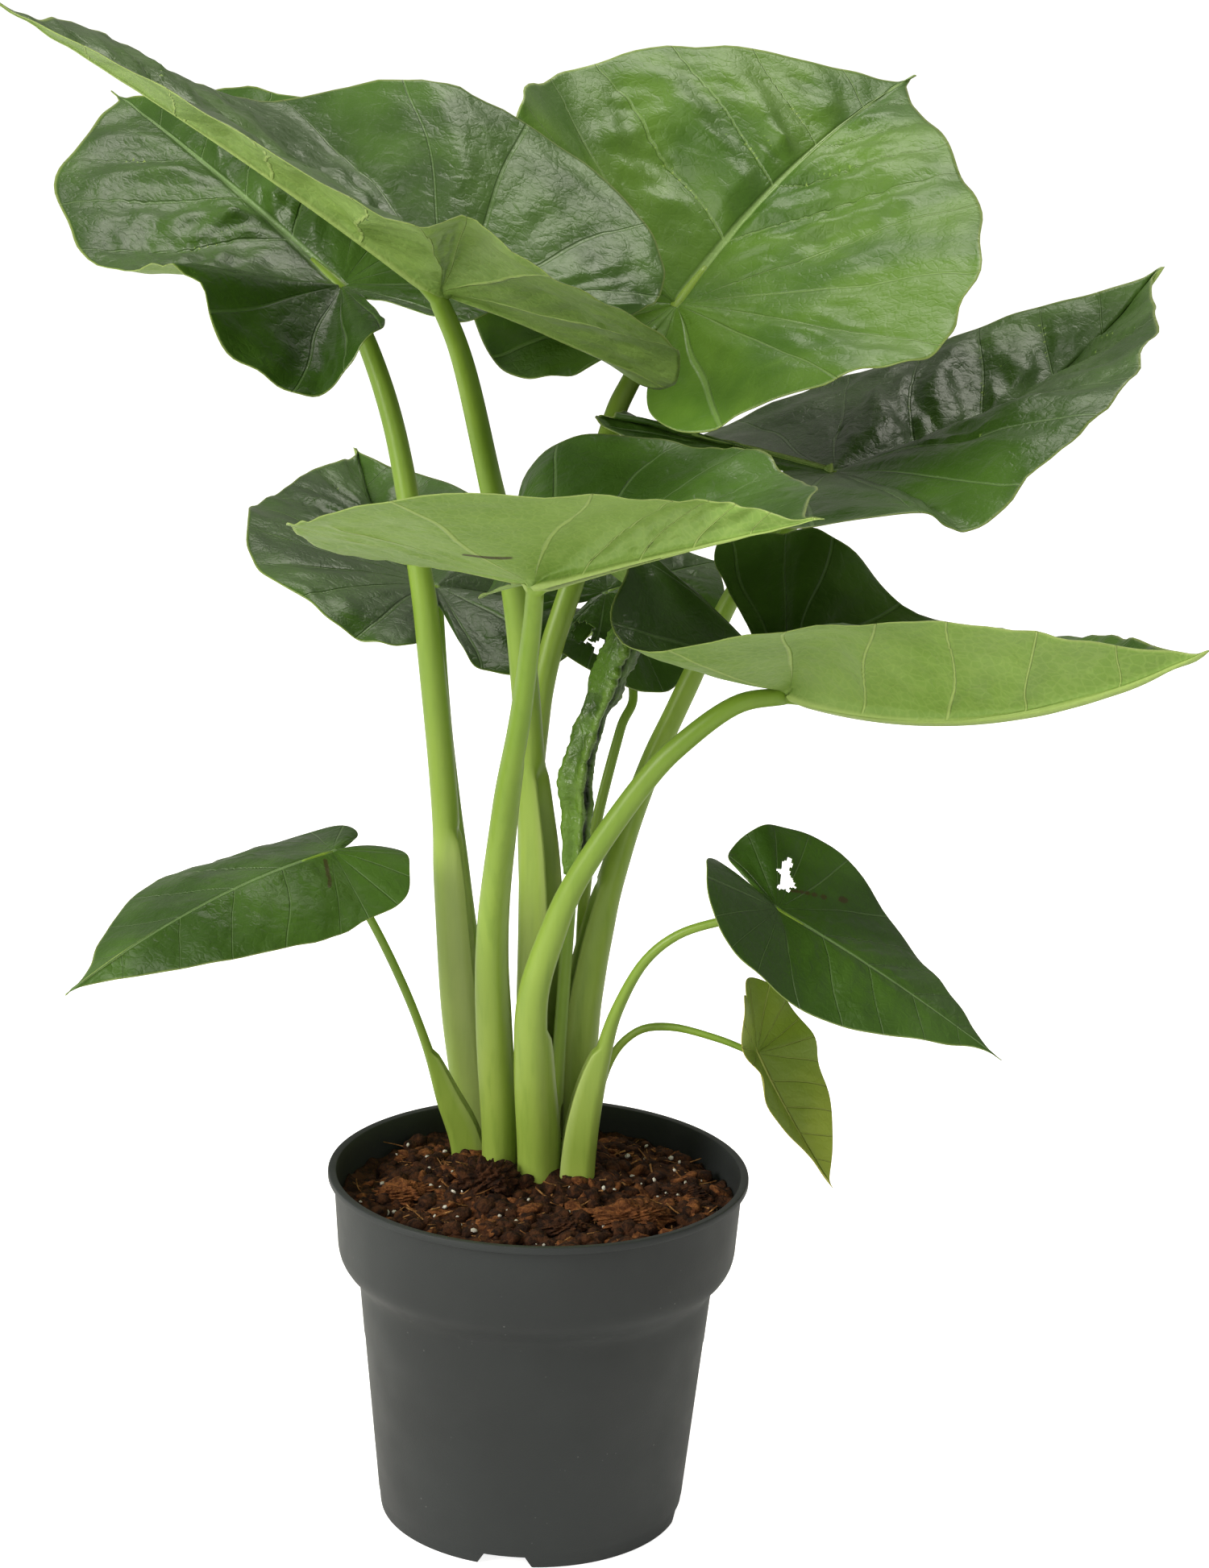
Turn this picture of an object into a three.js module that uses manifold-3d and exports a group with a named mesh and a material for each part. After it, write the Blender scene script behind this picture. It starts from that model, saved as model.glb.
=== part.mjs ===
// Calidora alocasia in a nursery pot.
// Millimetres, +Z up. The origin is the centre of the pot's base, and +Y points away from the front.

import * as THREE from 'three';
import { ParametricGeometry } from 'three/addons/geometries/ParametricGeometry.js';
import { mergeVertices } from 'three/addons/utils/BufferGeometryUtils.js';
import Module from 'manifold-3d';

const wasm = await Module();
wasm.setup();

// Clearance between solids that touch on the real plant
const GAP = 0.3;

// Pot
const POT_HEIGHT = 180;
const LIP_RADIUS = 105;
const COLLAR_RADIUS = 102;
const WALL = 1.8;
const FOOT_RADIUS = 76.5;
const FLOOR_UNDERSIDE = 5.2;
const BOSS_RADIUS = 30;
const POT_SEGMENTS = 48;
const NOTCH = { count: 4, width: 29, topWidth: 20.5, height: 6, reach: 14, firstAngle: -99 };
const DRAIN = { count: 6, radius: 6, circle: 54 };

// Soil
const SOIL_EDGE_Z = 163;
const SOIL_EDGE_RADIUS = 99;
const SOIL_MOUND = { x: 0, y: 30, height: 12, spread: 52 };
const SOIL_LUMP = 1.6;
const SOIL_RINGS = 7;

// Blades
const BLADE_THICKNESS = 1.2;
const LARGE = { rays: 18, rings: 4, wave: 2.5, waves: 3.5 };
const SMALL = { rays: 14, rings: 3, wave: 1.5, waves: 3 };
const HOLE_REACH = 30;
const SEAT_DEPTH = 25;
const SEAT_RINGS = 3;

// Petioles
const PETIOLE_SIDES = 8;
const PETIOLE_STEP = 24;
const PETIOLE_FLATNESS = 0.9;
const PETIOLE_REACH = 1;
const SHEATH_GROOVE = 1.4;
const SHEATH_MOUTH = 0.36;
const SHEATH_SIDE = 0.1;
const SHEATH_FADE = 1 / 3;

// Colour and gloss of each surface
const FINISH = {
  pot: { color: 0x44494b, roughness: 0.5, metalness: 0 },
  soil: { color: 0x33241a, roughness: 0.95, metalness: 0 },
  dark: { color: 0x2f4f2b, roughness: 0.35, metalness: 0 },
  bright: { color: 0x4e7a2c, roughness: 0.38, metalness: 0 },
  yellow: { color: 0x8a9a3a, roughness: 0.45, metalness: 0 },
  stem: { color: 0x8fb355, roughness: 0.45, metalness: 0 },
};

// Leaves. `at` is where the petiole meets the blade. heading is the way the tip points, round +Z from +X;
// pitch lifts the tip and roll lifts the left half. tip, lobe and width are flat lengths from the petiole.
// Each half bends along its rays at 40, 80, 120 and 160 degrees from the tip: turn swings the ray sideways,
// rise lifts it from the petiole on, and curl lifts it further towards the margin.
// `holes` are ragged openings, outlined on the flat blade as [ahead, leftward].
// `stem` is the petiole's centre line from the soil up, and `girth` its half widths at even steps along it.
// `sheath` is its winged foot: the way the groove opens, round +Z from +X, the height where the wings end, and
// how far they stand out, in half widths.
const LEAVES = [
  {
    name: 'top_left_front', finish: 'dark', grain: LARGE,
    at: [-57, 10, 614], heading: 203, pitch: 35, roll: -19, tip: 245, lobe: 95, tipCurl: -7,
    left: { width: 140, turn: [15, -10, 10, 30], rise: [20, 30, 30, 15], curl: [-10, -10, -5, -10] },
    right: { width: 144, turn: [15, 6, 28, 15], rise: [5, 30, 33, 28], curl: [-15, -9, -2, -2] },
    stem: [[-2, 60, 140], [-4, 59, 225], [-5, 58, 310], [-8, 56, 358], [-13, 53, 415], [-20, 48, 469],
      [-32, 38, 519], [-46, 22, 579]],
    girth: [10, 10, 8, 7.2, 6, 4.8],
    sheath: { opens: -30, apex: 372, wing: 3 },
  },
  {
    name: 'top_left_back', finish: 'dark', grain: LARGE,
    at: [-109, 95, 606], heading: 137, pitch: 29, roll: -33, tip: 205, lobe: 80, tipCurl: -12,
    left: { width: 105, turn: [25, 10, 15, 0], rise: [25, 40, 20, 30], curl: [0, 0, -5, 0] },
    right: { width: 84, turn: [0, 0, 0, -5], rise: [10, 8, 12, 12], curl: [-5, -10, -10, -5] },
    stem: [[-33, 67, 140], [-36, 66, 178], [-45, 64, 243], [-50, 60, 312], [-52, 58, 352], [-61, 57, 434],
      [-67, 61, 473], [-80, 76, 535], [-94, 88, 575]],
    girth: [8.4, 8, 7.4, 6.2, 5],
    sheath: { opens: -5, apex: 338, wing: 4 },
  },
  {
    name: 'top_right', finish: 'bright', grain: LARGE,
    at: [59, 135, 597], heading: 51, pitch: 39, roll: 10, tip: 245, lobe: 80, tipCurl: -26,
    left: { width: 125, turn: [10, 0, -10, 0], rise: [25, 45, 10, 10], curl: [-5, 5, -10, -5] },
    right: { width: 155, turn: [-5, 0, -5, 0], rise: [0, 10, 15, 5], curl: [-10, -10, -5, -10] },
    stem: [[3, 86, 140], [-5, 84, 260], [-9, 80, 346], [-6, 77, 397], [0, 79, 430], [12, 89, 471], [26, 130, 530],
      [37, 140, 557]],
    girth: [7, 6.5, 6, 5.6, 4.6],
    sheath: { opens: -80, apex: 260, wing: 2 },
  },
  {
    name: 'right_back', finish: 'dark', grain: LARGE,
    at: [140, 105, 518], heading: 31, pitch: 2, roll: -11, tip: 245, lobe: 115, tipCurl: 43,
    left: { width: 110, turn: [0, 15, 34, -5], rise: [24, 16, 20, 20], curl: [0, -5, 0, -5] },
    right: { width: 125, turn: [10, 10, -10, 0], rise: [15, -5, -5, 0], curl: [-10, -15, -10, -10] },
    stem: [[20, 50, 140], [20, 51, 183], [20, 56, 237], [25, 61, 275], [34, 68, 316], [50, 79, 365], [66, 89, 401],
      [80, 93, 432], [99, 98, 468]],
    girth: [7.5, 10, 7, 5.8, 4.6],
    sheath: { opens: 190, apex: 310, wing: 2.3 },
  },
  {
    name: 'middle_front', finish: 'dark', grain: LARGE,
    at: [-9, -70, 491], heading: -50, pitch: 19, roll: 2, tip: 190, lobe: 80, tipCurl: -3,
    left: { width: 120, turn: [5, -5, 10, 0], rise: [15, 25, 35, 5], curl: [-10, -5, 0, -10] },
    right: { width: 120, turn: [-25, 5, 0, 15], rise: [15, 25, 25, 20], curl: [-10, -5, -5, -5] },
    stem: [[-21, 27, 140], [-22, 25, 192], [-26, 20, 250], [-27, 13, 302], [-21, -8, 369], [-14, -30, 420],
      [-10, -54, 463]],
    girth: [7.4, 8, 6.4, 5.2, 4.4],
    sheath: { opens: 50, apex: 395, wing: 2.5 },
  },
  {
    name: 'right_front', finish: 'dark', grain: LARGE,
    at: [115, 0, 428], heading: -48, pitch: -4, roll: -4, tip: 250, lobe: 105, tipCurl: 37,
    left: { width: 95, turn: [0, 5, 10, -5], rise: [25, 25, 40, 30], curl: [-5, -10, 0, 0] },
    right: { width: 102, turn: [1, 15, 16, -3], rise: [31, 7, 43, 18], curl: [-7, 13, -16, 5] },
    stem: [[-1, 13, 140], [-2, 12, 183], [-5, 9, 228], [-5, 7, 267], [4, 4, 302], [17, 1, 334], [46, -4, 381],
      [65, -6, 403], [90, -6, 422]],
    girth: [9.4, 8.8, 6.2, 5.2, 4.2],
    sheath: { opens: 55, apex: 250, wing: 3.2 },
  },
  {
    name: 'left_back', finish: 'dark', grain: LARGE,
    at: [-62, 145, 446], heading: 113, pitch: -3, roll: 20, tip: 185, lobe: 80, tipCurl: 36,
    left: { width: 100, turn: [0, 0, 0, -5], rise: [10, 0, -10, -15], curl: [-5, -10, -15, -15] },
    right: { width: 90, turn: [0, 0, 0, 10], rise: [25, 5, 10, -15], curl: [0, -10, -5, -15] },
    stem: [[-24, 83, 140], [-33, 90, 220], [-45, 104, 300], [-56, 125, 376]],
    girth: [6.5, 6, 5.2, 4.6],
    sheath: { opens: -80, apex: 240, wing: 2 },
  },
  {
    name: 'middle_back', finish: 'dark', grain: SMALL,
    at: [27, 125, 449], heading: 43, pitch: 9, roll: 31, tip: 89, lobe: 48, tipCurl: -12,
    left: { width: 50, turn: [0, 0, 0, 0], rise: [0, 5, 5, 0], curl: [-10, -10, -10, -10] },
    right: { width: 61, turn: [0, 0, 0, 0], rise: [5, -10, -5, 0], curl: [-10, -10, -10, -10] },
    holes: [
      [[-35, -15], [-29, -10], [-24, -12], [-24, -17], [-31, -22], [-37, -21]],
      [[-30, -25], [-23, -25], [-25, -30], [-33, -32]],
    ],
    stem: [[18, 82, 140], [19, 82, 230], [20, 83, 300], [26, 88, 341], [36, 98, 383], [42, 107, 403]],
    girth: [3.4, 3.2, 2.8, 2.4, 2.2],
    sheath: { opens: -85, apex: 200, wing: 2 },
  },
  {
    name: 'low_left', finish: 'dark', grain: SMALL,
    at: [-106, 20, 336], heading: 226, pitch: -2, roll: -7, tip: 165, lobe: 29, tipCurl: -24,
    left: { width: 47, turn: [5, 0, 0, 5], rise: [-10, -15, 0, 5], curl: [-15, -15, -10, -10] },
    right: { width: 55, turn: [15, 0, 0, 0], rise: [-10, -10, -5, 5], curl: [-10, -15, -10, -5] },
    stem: [[-38, 45, 140], [-41, 43, 175], [-50, 39, 203], [-58, 34, 231], [-70, 27, 265], [-86, 19, 301]],
    girth: [5.6, 4.6, 2.7, 2.4, 2.2],
    sheath: { opens: 0, apex: 228, wing: 7 },
  },
  {
    name: 'low_right', finish: 'dark', grain: SMALL,
    at: [113, -10, 321], heading: -22, pitch: -23, roll: 17, tip: 127, lobe: 42, tipCurl: -10,
    left: { width: 53, turn: [-5, 5, 5, -10], rise: [0, 10, 15, 5], curl: [-10, -5, -5, -10] },
    right: { width: 50, turn: [0, 0, -5, 0], rise: [-5, 5, 20, 25], curl: [-10, -10, -5, 0] },
    holes: [[[-4, 11], [0, 12], [1, 18], [-2, 24], [-8, 34], [-10, 28], [-8, 20]]],
    stem: [[22, 13, 140], [23, 13, 183], [26, 13, 212], [31, 13, 238], [37, 10, 261], [49, 5, 287], [65, 1, 303],
      [86, -3, 312]],
    girth: [6.4, 6, 3.4, 2.5, 2.2],
    sheath: { opens: 180, apex: 240, wing: 5 },
  },
  {
    name: 'lowest_right', finish: 'yellow', grain: SMALL,
    at: [107, 10, 240], heading: -13, pitch: -62, roll: 19, tip: 77, lobe: 36, tipCurl: 9,
    left: { width: 31, turn: [0, 0, 0, 0], rise: [25, 35, 25, 15], curl: [-5, -5, -5, -5] },
    right: { width: 26, turn: [0, 0, 0, 0], rise: [20, 30, 25, 30], curl: [-10, -5, -5, -5] },
    stem: [[24, 34, 140], [25, 34, 180], [33, 33, 222], [46, 30, 242], [64, 24, 248], [88, 16, 245]],
    girth: [3, 2.4, 2, 1.8],
    sheath: { opens: 180, apex: 190, wing: 2 },
  },
];

// The newest leaf, still rolled up: a spindle on a thin petiole between the others
const ROLL = {
  stem: [[7, 35, 140], [9, 40, 230], [13, 48, 319.7]],
  girth: [4, 3.8, 3.4],
  sheath: { opens: 0, apex: 200, wing: 1 },
  line: [[14, 48, 320], [15, 48, 347], [15, 48, 375], [22, 48, 400], [29, 48, 421], [35, 48, 438], [39, 48, 453],
    [42, 48, 466]],
  radii: [2, 6, 7.5, 5.8, 8, 7.5, 5.5, 1],
  rings: 16,
  sides: 12,
  crinkle: 0.14,
  twist: 5,
};

const UP = new THREE.Vector3(0, 0, 1);
const radians = THREE.MathUtils.degToRad;

function curve(points) {
  return new THREE.CatmullRomCurve3(points.map((p) => new THREE.Vector3(...p)), false, 'catmullrom', 0.5);
}

// Half of a flat blade, from its tip round the margin to the notch at its base: along the midrib in tip
// lengths (ahead of the petiole) or lobe lengths (behind it), and across it in half widths
const HALF_OUTLINE = curve([
  [1, 0, 0], [0.955, 0.03, 0], [0.88, 0.14, 0], [0.72, 0.42, 0], [0.48, 0.74, 0], [0.2, 0.95, 0],
  [-0.1, 1, 0], [-0.5, 0.9, 0], [-0.85, 0.64, 0], [-1, 0.38, 0], [-0.9, 0.17, 0], [-0.5, 0.06, 0],
  [-0.25, 0, 0],
]);

// Geometry helpers

// Vertices that coincide become one, and faces that shrink to a line at a pole go
function weld(geometry) {
  geometry.deleteAttribute('normal');
  geometry.deleteAttribute('uv');
  const welded = mergeVertices(geometry, 1e-4);
  const index = welded.getIndex().array;
  const kept = [];
  for (let i = 0; i < index.length; i += 3) {
    const [a, b, c] = index.slice(i, i + 3);
    if (a !== b && b !== c && c !== a) kept.push(a, b, c);
  }
  welded.setIndex(kept);
  return welded;
}

function signedVolume(geometry) {
  const position = geometry.getAttribute('position');
  const index = geometry.getIndex().array;
  const [a, b, c] = [new THREE.Vector3(), new THREE.Vector3(), new THREE.Vector3()];
  let volume = 0;
  for (let i = 0; i < index.length; i += 3) {
    a.fromBufferAttribute(position, index[i]);
    b.fromBufferAttribute(position, index[i + 1]);
    c.fromBufferAttribute(position, index[i + 2]);
    volume += a.dot(b.cross(c)) / 6;
  }
  return volume;
}

function facingOut(geometry) {
  if (signedVolume(geometry) < 0) geometry.setIndex([...geometry.getIndex().array].reverse());
  return geometry;
}

function solid(geometry) {
  const shape = facingOut(weld(geometry));
  return new wasm.Manifold(new wasm.Mesh({
    numProp: 3,
    vertProperties: new Float32Array(shape.getAttribute('position').array),
    triVerts: new Uint32Array(shape.getIndex().array),
  }));
}

function geometryOf(manifold) {
  const mesh = manifold.getMesh();
  const geometry = new THREE.BufferGeometry();
  geometry.setAttribute('position', new THREE.BufferAttribute(mesh.vertProperties, 3));
  geometry.setIndex(new THREE.BufferAttribute(mesh.triVerts, 1));
  return geometry;
}

// A closed tube of changing section: section(i) gives the points of ring i, and the ends close on their centres
function tube(rings, sides, centre, section) {
  const stacks = rings + 1;
  return new ParametricGeometry((u, v, target) => {
    const row = Math.round(v * stacks);
    if (row === 0) target.copy(centre(0));
    else if (row === stacks) target.copy(centre(rings - 1));
    else target.copy(section(row - 1, (Math.round(u * sides) % sides) * 2 * Math.PI / sides));
  }, sides, stacks);
}

// A thin sheet given its thickness: an upper and a lower skin with the same triangles, joined round the margin
function thicken(sheet, above, below) {
  const surface = weld(sheet);
  surface.computeVertexNormals();
  const position = surface.getAttribute('position');
  const normal = surface.getAttribute('normal');
  const count = position.count;
  const points = new Float32Array(count * 6);
  const p = new THREE.Vector3();
  const n = new THREE.Vector3();
  for (let i = 0; i < count; i++) {
    p.fromBufferAttribute(position, i);
    n.fromBufferAttribute(normal, i);
    p.clone().addScaledVector(above(n), 1).toArray(points, i * 3);
    p.clone().addScaledVector(below(n), 1).toArray(points, (count + i) * 3);
  }
  const index = surface.getIndex().array;
  const faces = [];
  const edges = new Map();
  for (let i = 0; i < index.length; i += 3) {
    const [a, b, c] = index.slice(i, i + 3);
    faces.push(a, b, c, count + a, count + c, count + b);
    for (const [s, t] of [[a, b], [b, c], [c, a]]) {
      if (!edges.delete(`${t},${s}`)) edges.set(`${s},${t}`, [s, t]);
    }
  }
  for (const [s, t] of edges.values()) faces.push(s, count + s, count + t, s, count + t, t);
  const geometry = new THREE.BufferGeometry();
  geometry.setAttribute('position', new THREE.BufferAttribute(points, 3));
  geometry.setIndex(faces);
  return geometry;
}

// Blades

function leafFrame(leaf) {
  const [h, p, r] = [leaf.heading, leaf.pitch, leaf.roll].map(radians);
  const ahead = new THREE.Vector3(Math.cos(p) * Math.cos(h), Math.cos(p) * Math.sin(h), Math.sin(p));
  const level = new THREE.Vector3(-Math.sin(h), Math.cos(h), 0);
  const leftward = level.clone().applyAxisAngle(ahead, r);
  return { ahead, leftward, above: new THREE.Vector3().crossVectors(ahead, leftward) };
}

// The bends of one half, as turn, rise and curl against the angle from the tip. They start at the midrib and
// run on past the notch into the other half, so that the two halves meet there.
function bends(own, other, tipCurl) {
  const knots = [[0, 0, tipCurl]];
  for (let i = 0; i < 4; i++) knots.push([own.turn[i], own.rise[i], own.curl[i]]);
  knots.push([-other.turn[3], other.rise[3], other.curl[3]]);
  return curve(knots);
}

const BEND_SPAN = radians(200);

function bladeSurface(leaf, reach = 1) {
  const { ahead, leftward, above } = leafFrame(leaf);
  const start = new THREE.Vector3(...leaf.at);
  const halves = [
    { ...leaf.left, side: 1, bend: bends(leaf.left, leaf.right, leaf.tipCurl) },
    { ...leaf.right, side: -1, bend: bends(leaf.right, leaf.left, leaf.tipCurl) },
  ];
  return (u, v, target) => {
    const half = u < 0.5 ? halves[1] : halves[0];
    const flat = HALF_OUTLINE.getPoint(u < 0.5 ? u * 2 : 2 - u * 2);
    const x = flat.x * (flat.x > 0 ? leaf.tip : leaf.lobe);
    const y = flat.y * half.width;
    const angle = Math.atan2(y, x);
    const bend = half.bend.getPoint(Math.min(angle / BEND_SPAN, 1));
    const azimuth = angle + radians(bend.x);
    const rise = radians(bend.y);
    const curl = Math.abs(bend.z) < 0.01 ? 1e-4 : radians(bend.z);
    const q = v * reach;
    const length = Math.hypot(x, y);
    const out = length * (Math.sin(rise + curl * q) - Math.sin(rise)) / curl;
    const lift = length * (Math.cos(rise) - Math.cos(rise + curl * q)) / curl;
    const ripple = leaf.grain.wave * Math.sin(2 * Math.PI * leaf.grain.waves * angle / Math.PI) * q ** 3;
    target.copy(start)
      .addScaledVector(ahead, out * Math.cos(azimuth))
      .addScaledVector(leftward, half.side * out * Math.sin(azimuth))
      .addScaledVector(above, lift + ripple);
  };
}

// grow adds to both sides, for the room the blade needs
function bladeGeometry(leaf, grow = 0) {
  const { rays, rings } = leaf.grain;
  const sheet = new ParametricGeometry(bladeSurface(leaf), 2 * rays, rings);
  const half = BLADE_THICKNESS / 2 + grow;
  return thicken(sheet, (n) => n.clone().multiplyScalar(half), (n) => n.clone().multiplyScalar(-half));
}

// A hole's outline pushed straight through the blade
function holeGeometry(leaf, outline) {
  const { ahead, leftward, above } = leafFrame(leaf);
  const shape = new THREE.Shape(outline.map(([x, y]) => new THREE.Vector2(x, y)));
  const prism = new THREE.ExtrudeGeometry(shape, { depth: 2 * HOLE_REACH, bevelEnabled: false });
  const place = new THREE.Matrix4().makeBasis(ahead, leftward, above).setPosition(...leaf.at);
  return prism.translate(0, 0, -HOLE_REACH).applyMatrix4(place);
}

function blade(leaf) {
  const holes = (leaf.holes ?? []).map((outline) => solid(holeGeometry(leaf, outline)));
  return holes.reduce((body, hole) => body.subtract(hole), solid(bladeGeometry(leaf)));
}

// What the petiole's end is trimmed with: the blade's underside round the petiole, with the room above it
function seatCutter(leaf) {
  const { rays, rings } = leaf.grain;
  const onward = new THREE.Vector3(...leaf.at).sub(new THREE.Vector3(...leaf.stem.at(-1))).setLength(SEAT_DEPTH);
  const sheet = new ParametricGeometry(bladeSurface(leaf, SEAT_RINGS / rings), 2 * rays, SEAT_RINGS);
  return thicken(
    sheet,
    () => onward,
    (n) => n.clone().multiplyScalar(-BLADE_THICKNESS / 2 - GAP),
  );
}

// Petioles

// A round stalk whose foot opens into two wings with a groove between them. widen makes the same body thicker
// and its foot deeper, for the hole it stands in.
function petioleGeometry({ girth, sheath }, points, widen = 0) {
  const line = curve(points);
  const foot = points[0][2];
  const opening = new THREE.Vector3(1, 0, 0).applyAxisAngle(UP, radians(sheath.opens));
  const width = curve(girth.map((g) => [g, 0, 0]));
  const rings = Math.max(5, Math.round(line.getLength() / PETIOLE_STEP));
  const at = (i) => i / (rings - 1);
  const centre = (i) => line.getPoint(at(i)).addScaledVector(UP, i === 0 ? -widen : 0);
  return tube(rings, PETIOLE_SIDES, centre, (i, angle) => {
    const tangent = line.getTangent(at(i));
    const front = opening.clone().addScaledVector(tangent, -opening.dot(tangent)).normalize();
    const across = new THREE.Vector3().crossVectors(tangent, front);
    const w = width.getPoint(at(i)).x;
    const depth = Math.sin(angle);
    const height = (line.getPoint(at(i)).z - foot) / (sheath.apex - foot);
    const open = Math.max(1 - height ** 2, 0) ** SHEATH_FADE;
    const wings = widen > 0
      ? SHEATH_MOUTH * sheath.wing
      : sheath.wing * depth - (sheath.wing + SHEATH_GROOVE) * depth ** 3;
    const bulge = depth > SHEATH_SIDE ? depth + wings * open : depth;
    return centre(i)
      .addScaledVector(across, (w + widen) * Math.cos(angle))
      .addScaledVector(front, w * PETIOLE_FLATNESS * bulge + widen * depth);
  });
}

function petioleLine(leaf) {
  const { above } = leafFrame(leaf);
  return [...leaf.stem, new THREE.Vector3(...leaf.at).addScaledVector(above, PETIOLE_REACH).toArray()];
}

function petiole(leaf) {
  const trimmed = solid(petioleGeometry(leaf, petioleLine(leaf)))
    .subtract(solid(seatCutter(leaf)))
    .subtract(solid(bladeGeometry(leaf, GAP)))
    .subtract(blade(leaf));
  return trimmed.decompose().reduce((a, b) => (b.volume() > a.volume() ? b : a));
}

// The rolled blade: a crinkled spindle whose section is pinched in along the overlapping edge
function rollGeometry() {
  const line = curve(ROLL.line);
  const radius = curve(ROLL.radii.map((r) => [r, 0, 0]));
  const front = new THREE.Vector3(0, -1, 0);
  const at = (i) => i / (ROLL.rings - 1);
  return tube(ROLL.rings, ROLL.sides, (i) => line.getPoint(at(i)), (i, angle) => {
    const t = at(i);
    const across = new THREE.Vector3().crossVectors(front, line.getTangent(t)).normalize();
    const crinkle = ROLL.crinkle * Math.sin(3 * angle + ROLL.twist * t);
    const r = radius.getPoint(t).x * (1 + crinkle);
    return line.getPoint(t)
      .addScaledVector(across, r * Math.cos(angle))
      .addScaledVector(front, r * Math.sin(angle));
  });
}

// Pot and soil

// A profile of [radius, height] pairs turned about +Z
function turned(profile) {
  const points = profile.map(([r, z]) => new THREE.Vector2(r, z));
  return new THREE.LatheGeometry(points, POT_SEGMENTS).rotateX(Math.PI / 2);
}

// The pot's inside from its collar down to the middle of the floor. The soil follows it at a clearance.
const INNER_WALL = [
  [100.2, 172], [97.7, 141.5], [96.6, 137], [93.9, 132.5], [90.7, 129], [88.5, 126], [86.7, 121], [86.2, 115],
  [75.1, 12], [73.5, FLOOR_UNDERSIDE + WALL], [BOSS_RADIUS + 4.5, FLOOR_UNDERSIDE + WALL],
  [BOSS_RADIUS + 1, WALL], [0, WALL],
];

function potGeometry() {
  const outside = [
    [0, 0], [BOSS_RADIUS, 0], [BOSS_RADIUS + 4, FLOOR_UNDERSIDE], [71.5, FLOOR_UNDERSIDE], [73, 0],
    [75.3, 0], [FOOT_RADIUS, 2], [76.9, 6], [88, 115], [88.5, 120], [90.3, 125], [92.8, 128.4], [96, 132],
    [98.5, 136.5], [99.6, 141.5], [COLLAR_RADIUS, 176],
  ];
  const lip = [
    [104.2, 176.4], [LIP_RADIUS, 177.2], [LIP_RADIUS, 179], [104.2, POT_HEIGHT], [102, POT_HEIGHT],
    [100.6, 178.6],
  ];
  let pot = solid(turned([...outside, ...lip, ...INNER_WALL]));
  for (let i = 0; i < NOTCH.count; i++) {
    const notch = notchGeometry().rotateZ(radians(NOTCH.firstAngle + i * 360 / NOTCH.count));
    pot = pot.subtract(solid(notch));
  }
  for (let i = 0; i < DRAIN.count; i++) {
    const drain = new THREE.CylinderGeometry(DRAIN.radius, DRAIN.radius, 3 * WALL, 12).rotateX(Math.PI / 2);
    drain.translate(DRAIN.circle, 0, FLOOR_UNDERSIDE + WALL / 2).rotateZ(i * 2 * Math.PI / DRAIN.count);
    pot = pot.subtract(solid(drain));
  }
  return geometryOf(pot);
}

// A cut-out through the foot ring, wider at the bottom, on the +X side
function notchGeometry() {
  const shape = new THREE.Shape([
    new THREE.Vector2(-NOTCH.width / 2, -1),
    new THREE.Vector2(NOTCH.width / 2, -1),
    new THREE.Vector2(NOTCH.topWidth / 2, NOTCH.height),
    new THREE.Vector2(-NOTCH.topWidth / 2, NOTCH.height),
  ]);
  const cut = new THREE.ExtrudeGeometry(shape, { depth: NOTCH.reach, bevelEnabled: false });
  return cut.rotateX(Math.PI / 2).rotateZ(Math.PI / 2).translate(FOOT_RADIUS + 4 - NOTCH.reach, 0, 0);
}

// Height of the soil: level, with a mound under the stems and small lumps
function soilHeight(x, y) {
  const d = Math.hypot(x - SOIL_MOUND.x, y - SOIL_MOUND.y) / SOIL_MOUND.spread;
  const lumps = Math.sin(x * 0.19 + 1.3) * Math.cos(y * 0.23) + 0.6 * Math.sin((x + y) * 0.41);
  return SOIL_EDGE_Z + SOIL_MOUND.height * Math.exp(-d * d) + SOIL_LUMP * lumps;
}

function soilGeometry() {
  const wall = INNER_WALL.slice(1).map(([r, z]) => [r > 0 ? r - GAP : 0, z + GAP]);
  const stacks = SOIL_RINGS + wall.length;
  return new ParametricGeometry((u, v, target) => {
    const row = Math.round(v * stacks);
    const angle = (Math.round(u * POT_SEGMENTS) % POT_SEGMENTS) * 2 * Math.PI / POT_SEGMENTS;
    const [r, z] = row > SOIL_RINGS ? wall[row - SOIL_RINGS - 1] : [SOIL_EDGE_RADIUS * row / SOIL_RINGS, null];
    const x = r * Math.cos(angle);
    const y = r * Math.sin(angle);
    target.set(x, y, z ?? soilHeight(x, y));
  }, POT_SEGMENTS, stacks);
}

const group = new THREE.Group();

function add(name, geometry, finish) {
  const mesh = new THREE.Mesh(geometry, new THREE.MeshStandardMaterial(FINISH[finish]));
  mesh.name = name;
  group.add(mesh);
}

let soil = solid(soilGeometry());
for (const leaf of LEAVES) {
  add(`blade_${leaf.name}`, geometryOf(blade(leaf)), leaf.finish);
  add(`petiole_${leaf.name}`, geometryOf(petiole(leaf)), 'stem');
  soil = soil.subtract(solid(petioleGeometry(leaf, petioleLine(leaf), GAP)));
}
add('rolled_leaf', geometryOf(solid(rollGeometry())), 'bright');
add('petiole_rolled_leaf', geometryOf(solid(petioleGeometry(ROLL, ROLL.stem))), 'stem');
soil = soil.subtract(solid(petioleGeometry(ROLL, ROLL.stem, GAP)));
add('soil', geometryOf(soil), 'soil');
add('pot', potGeometry(), 'pot');

export default group;
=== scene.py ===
# Calidora alocasia in a nursery pot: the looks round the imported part.
# Sizes and places are in millimetres, +Z up and +Y away from the front, and become metres in metres().

import math

import bmesh
import bpy
import numpy as np
from mathutils import Matrix, Vector


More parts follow.
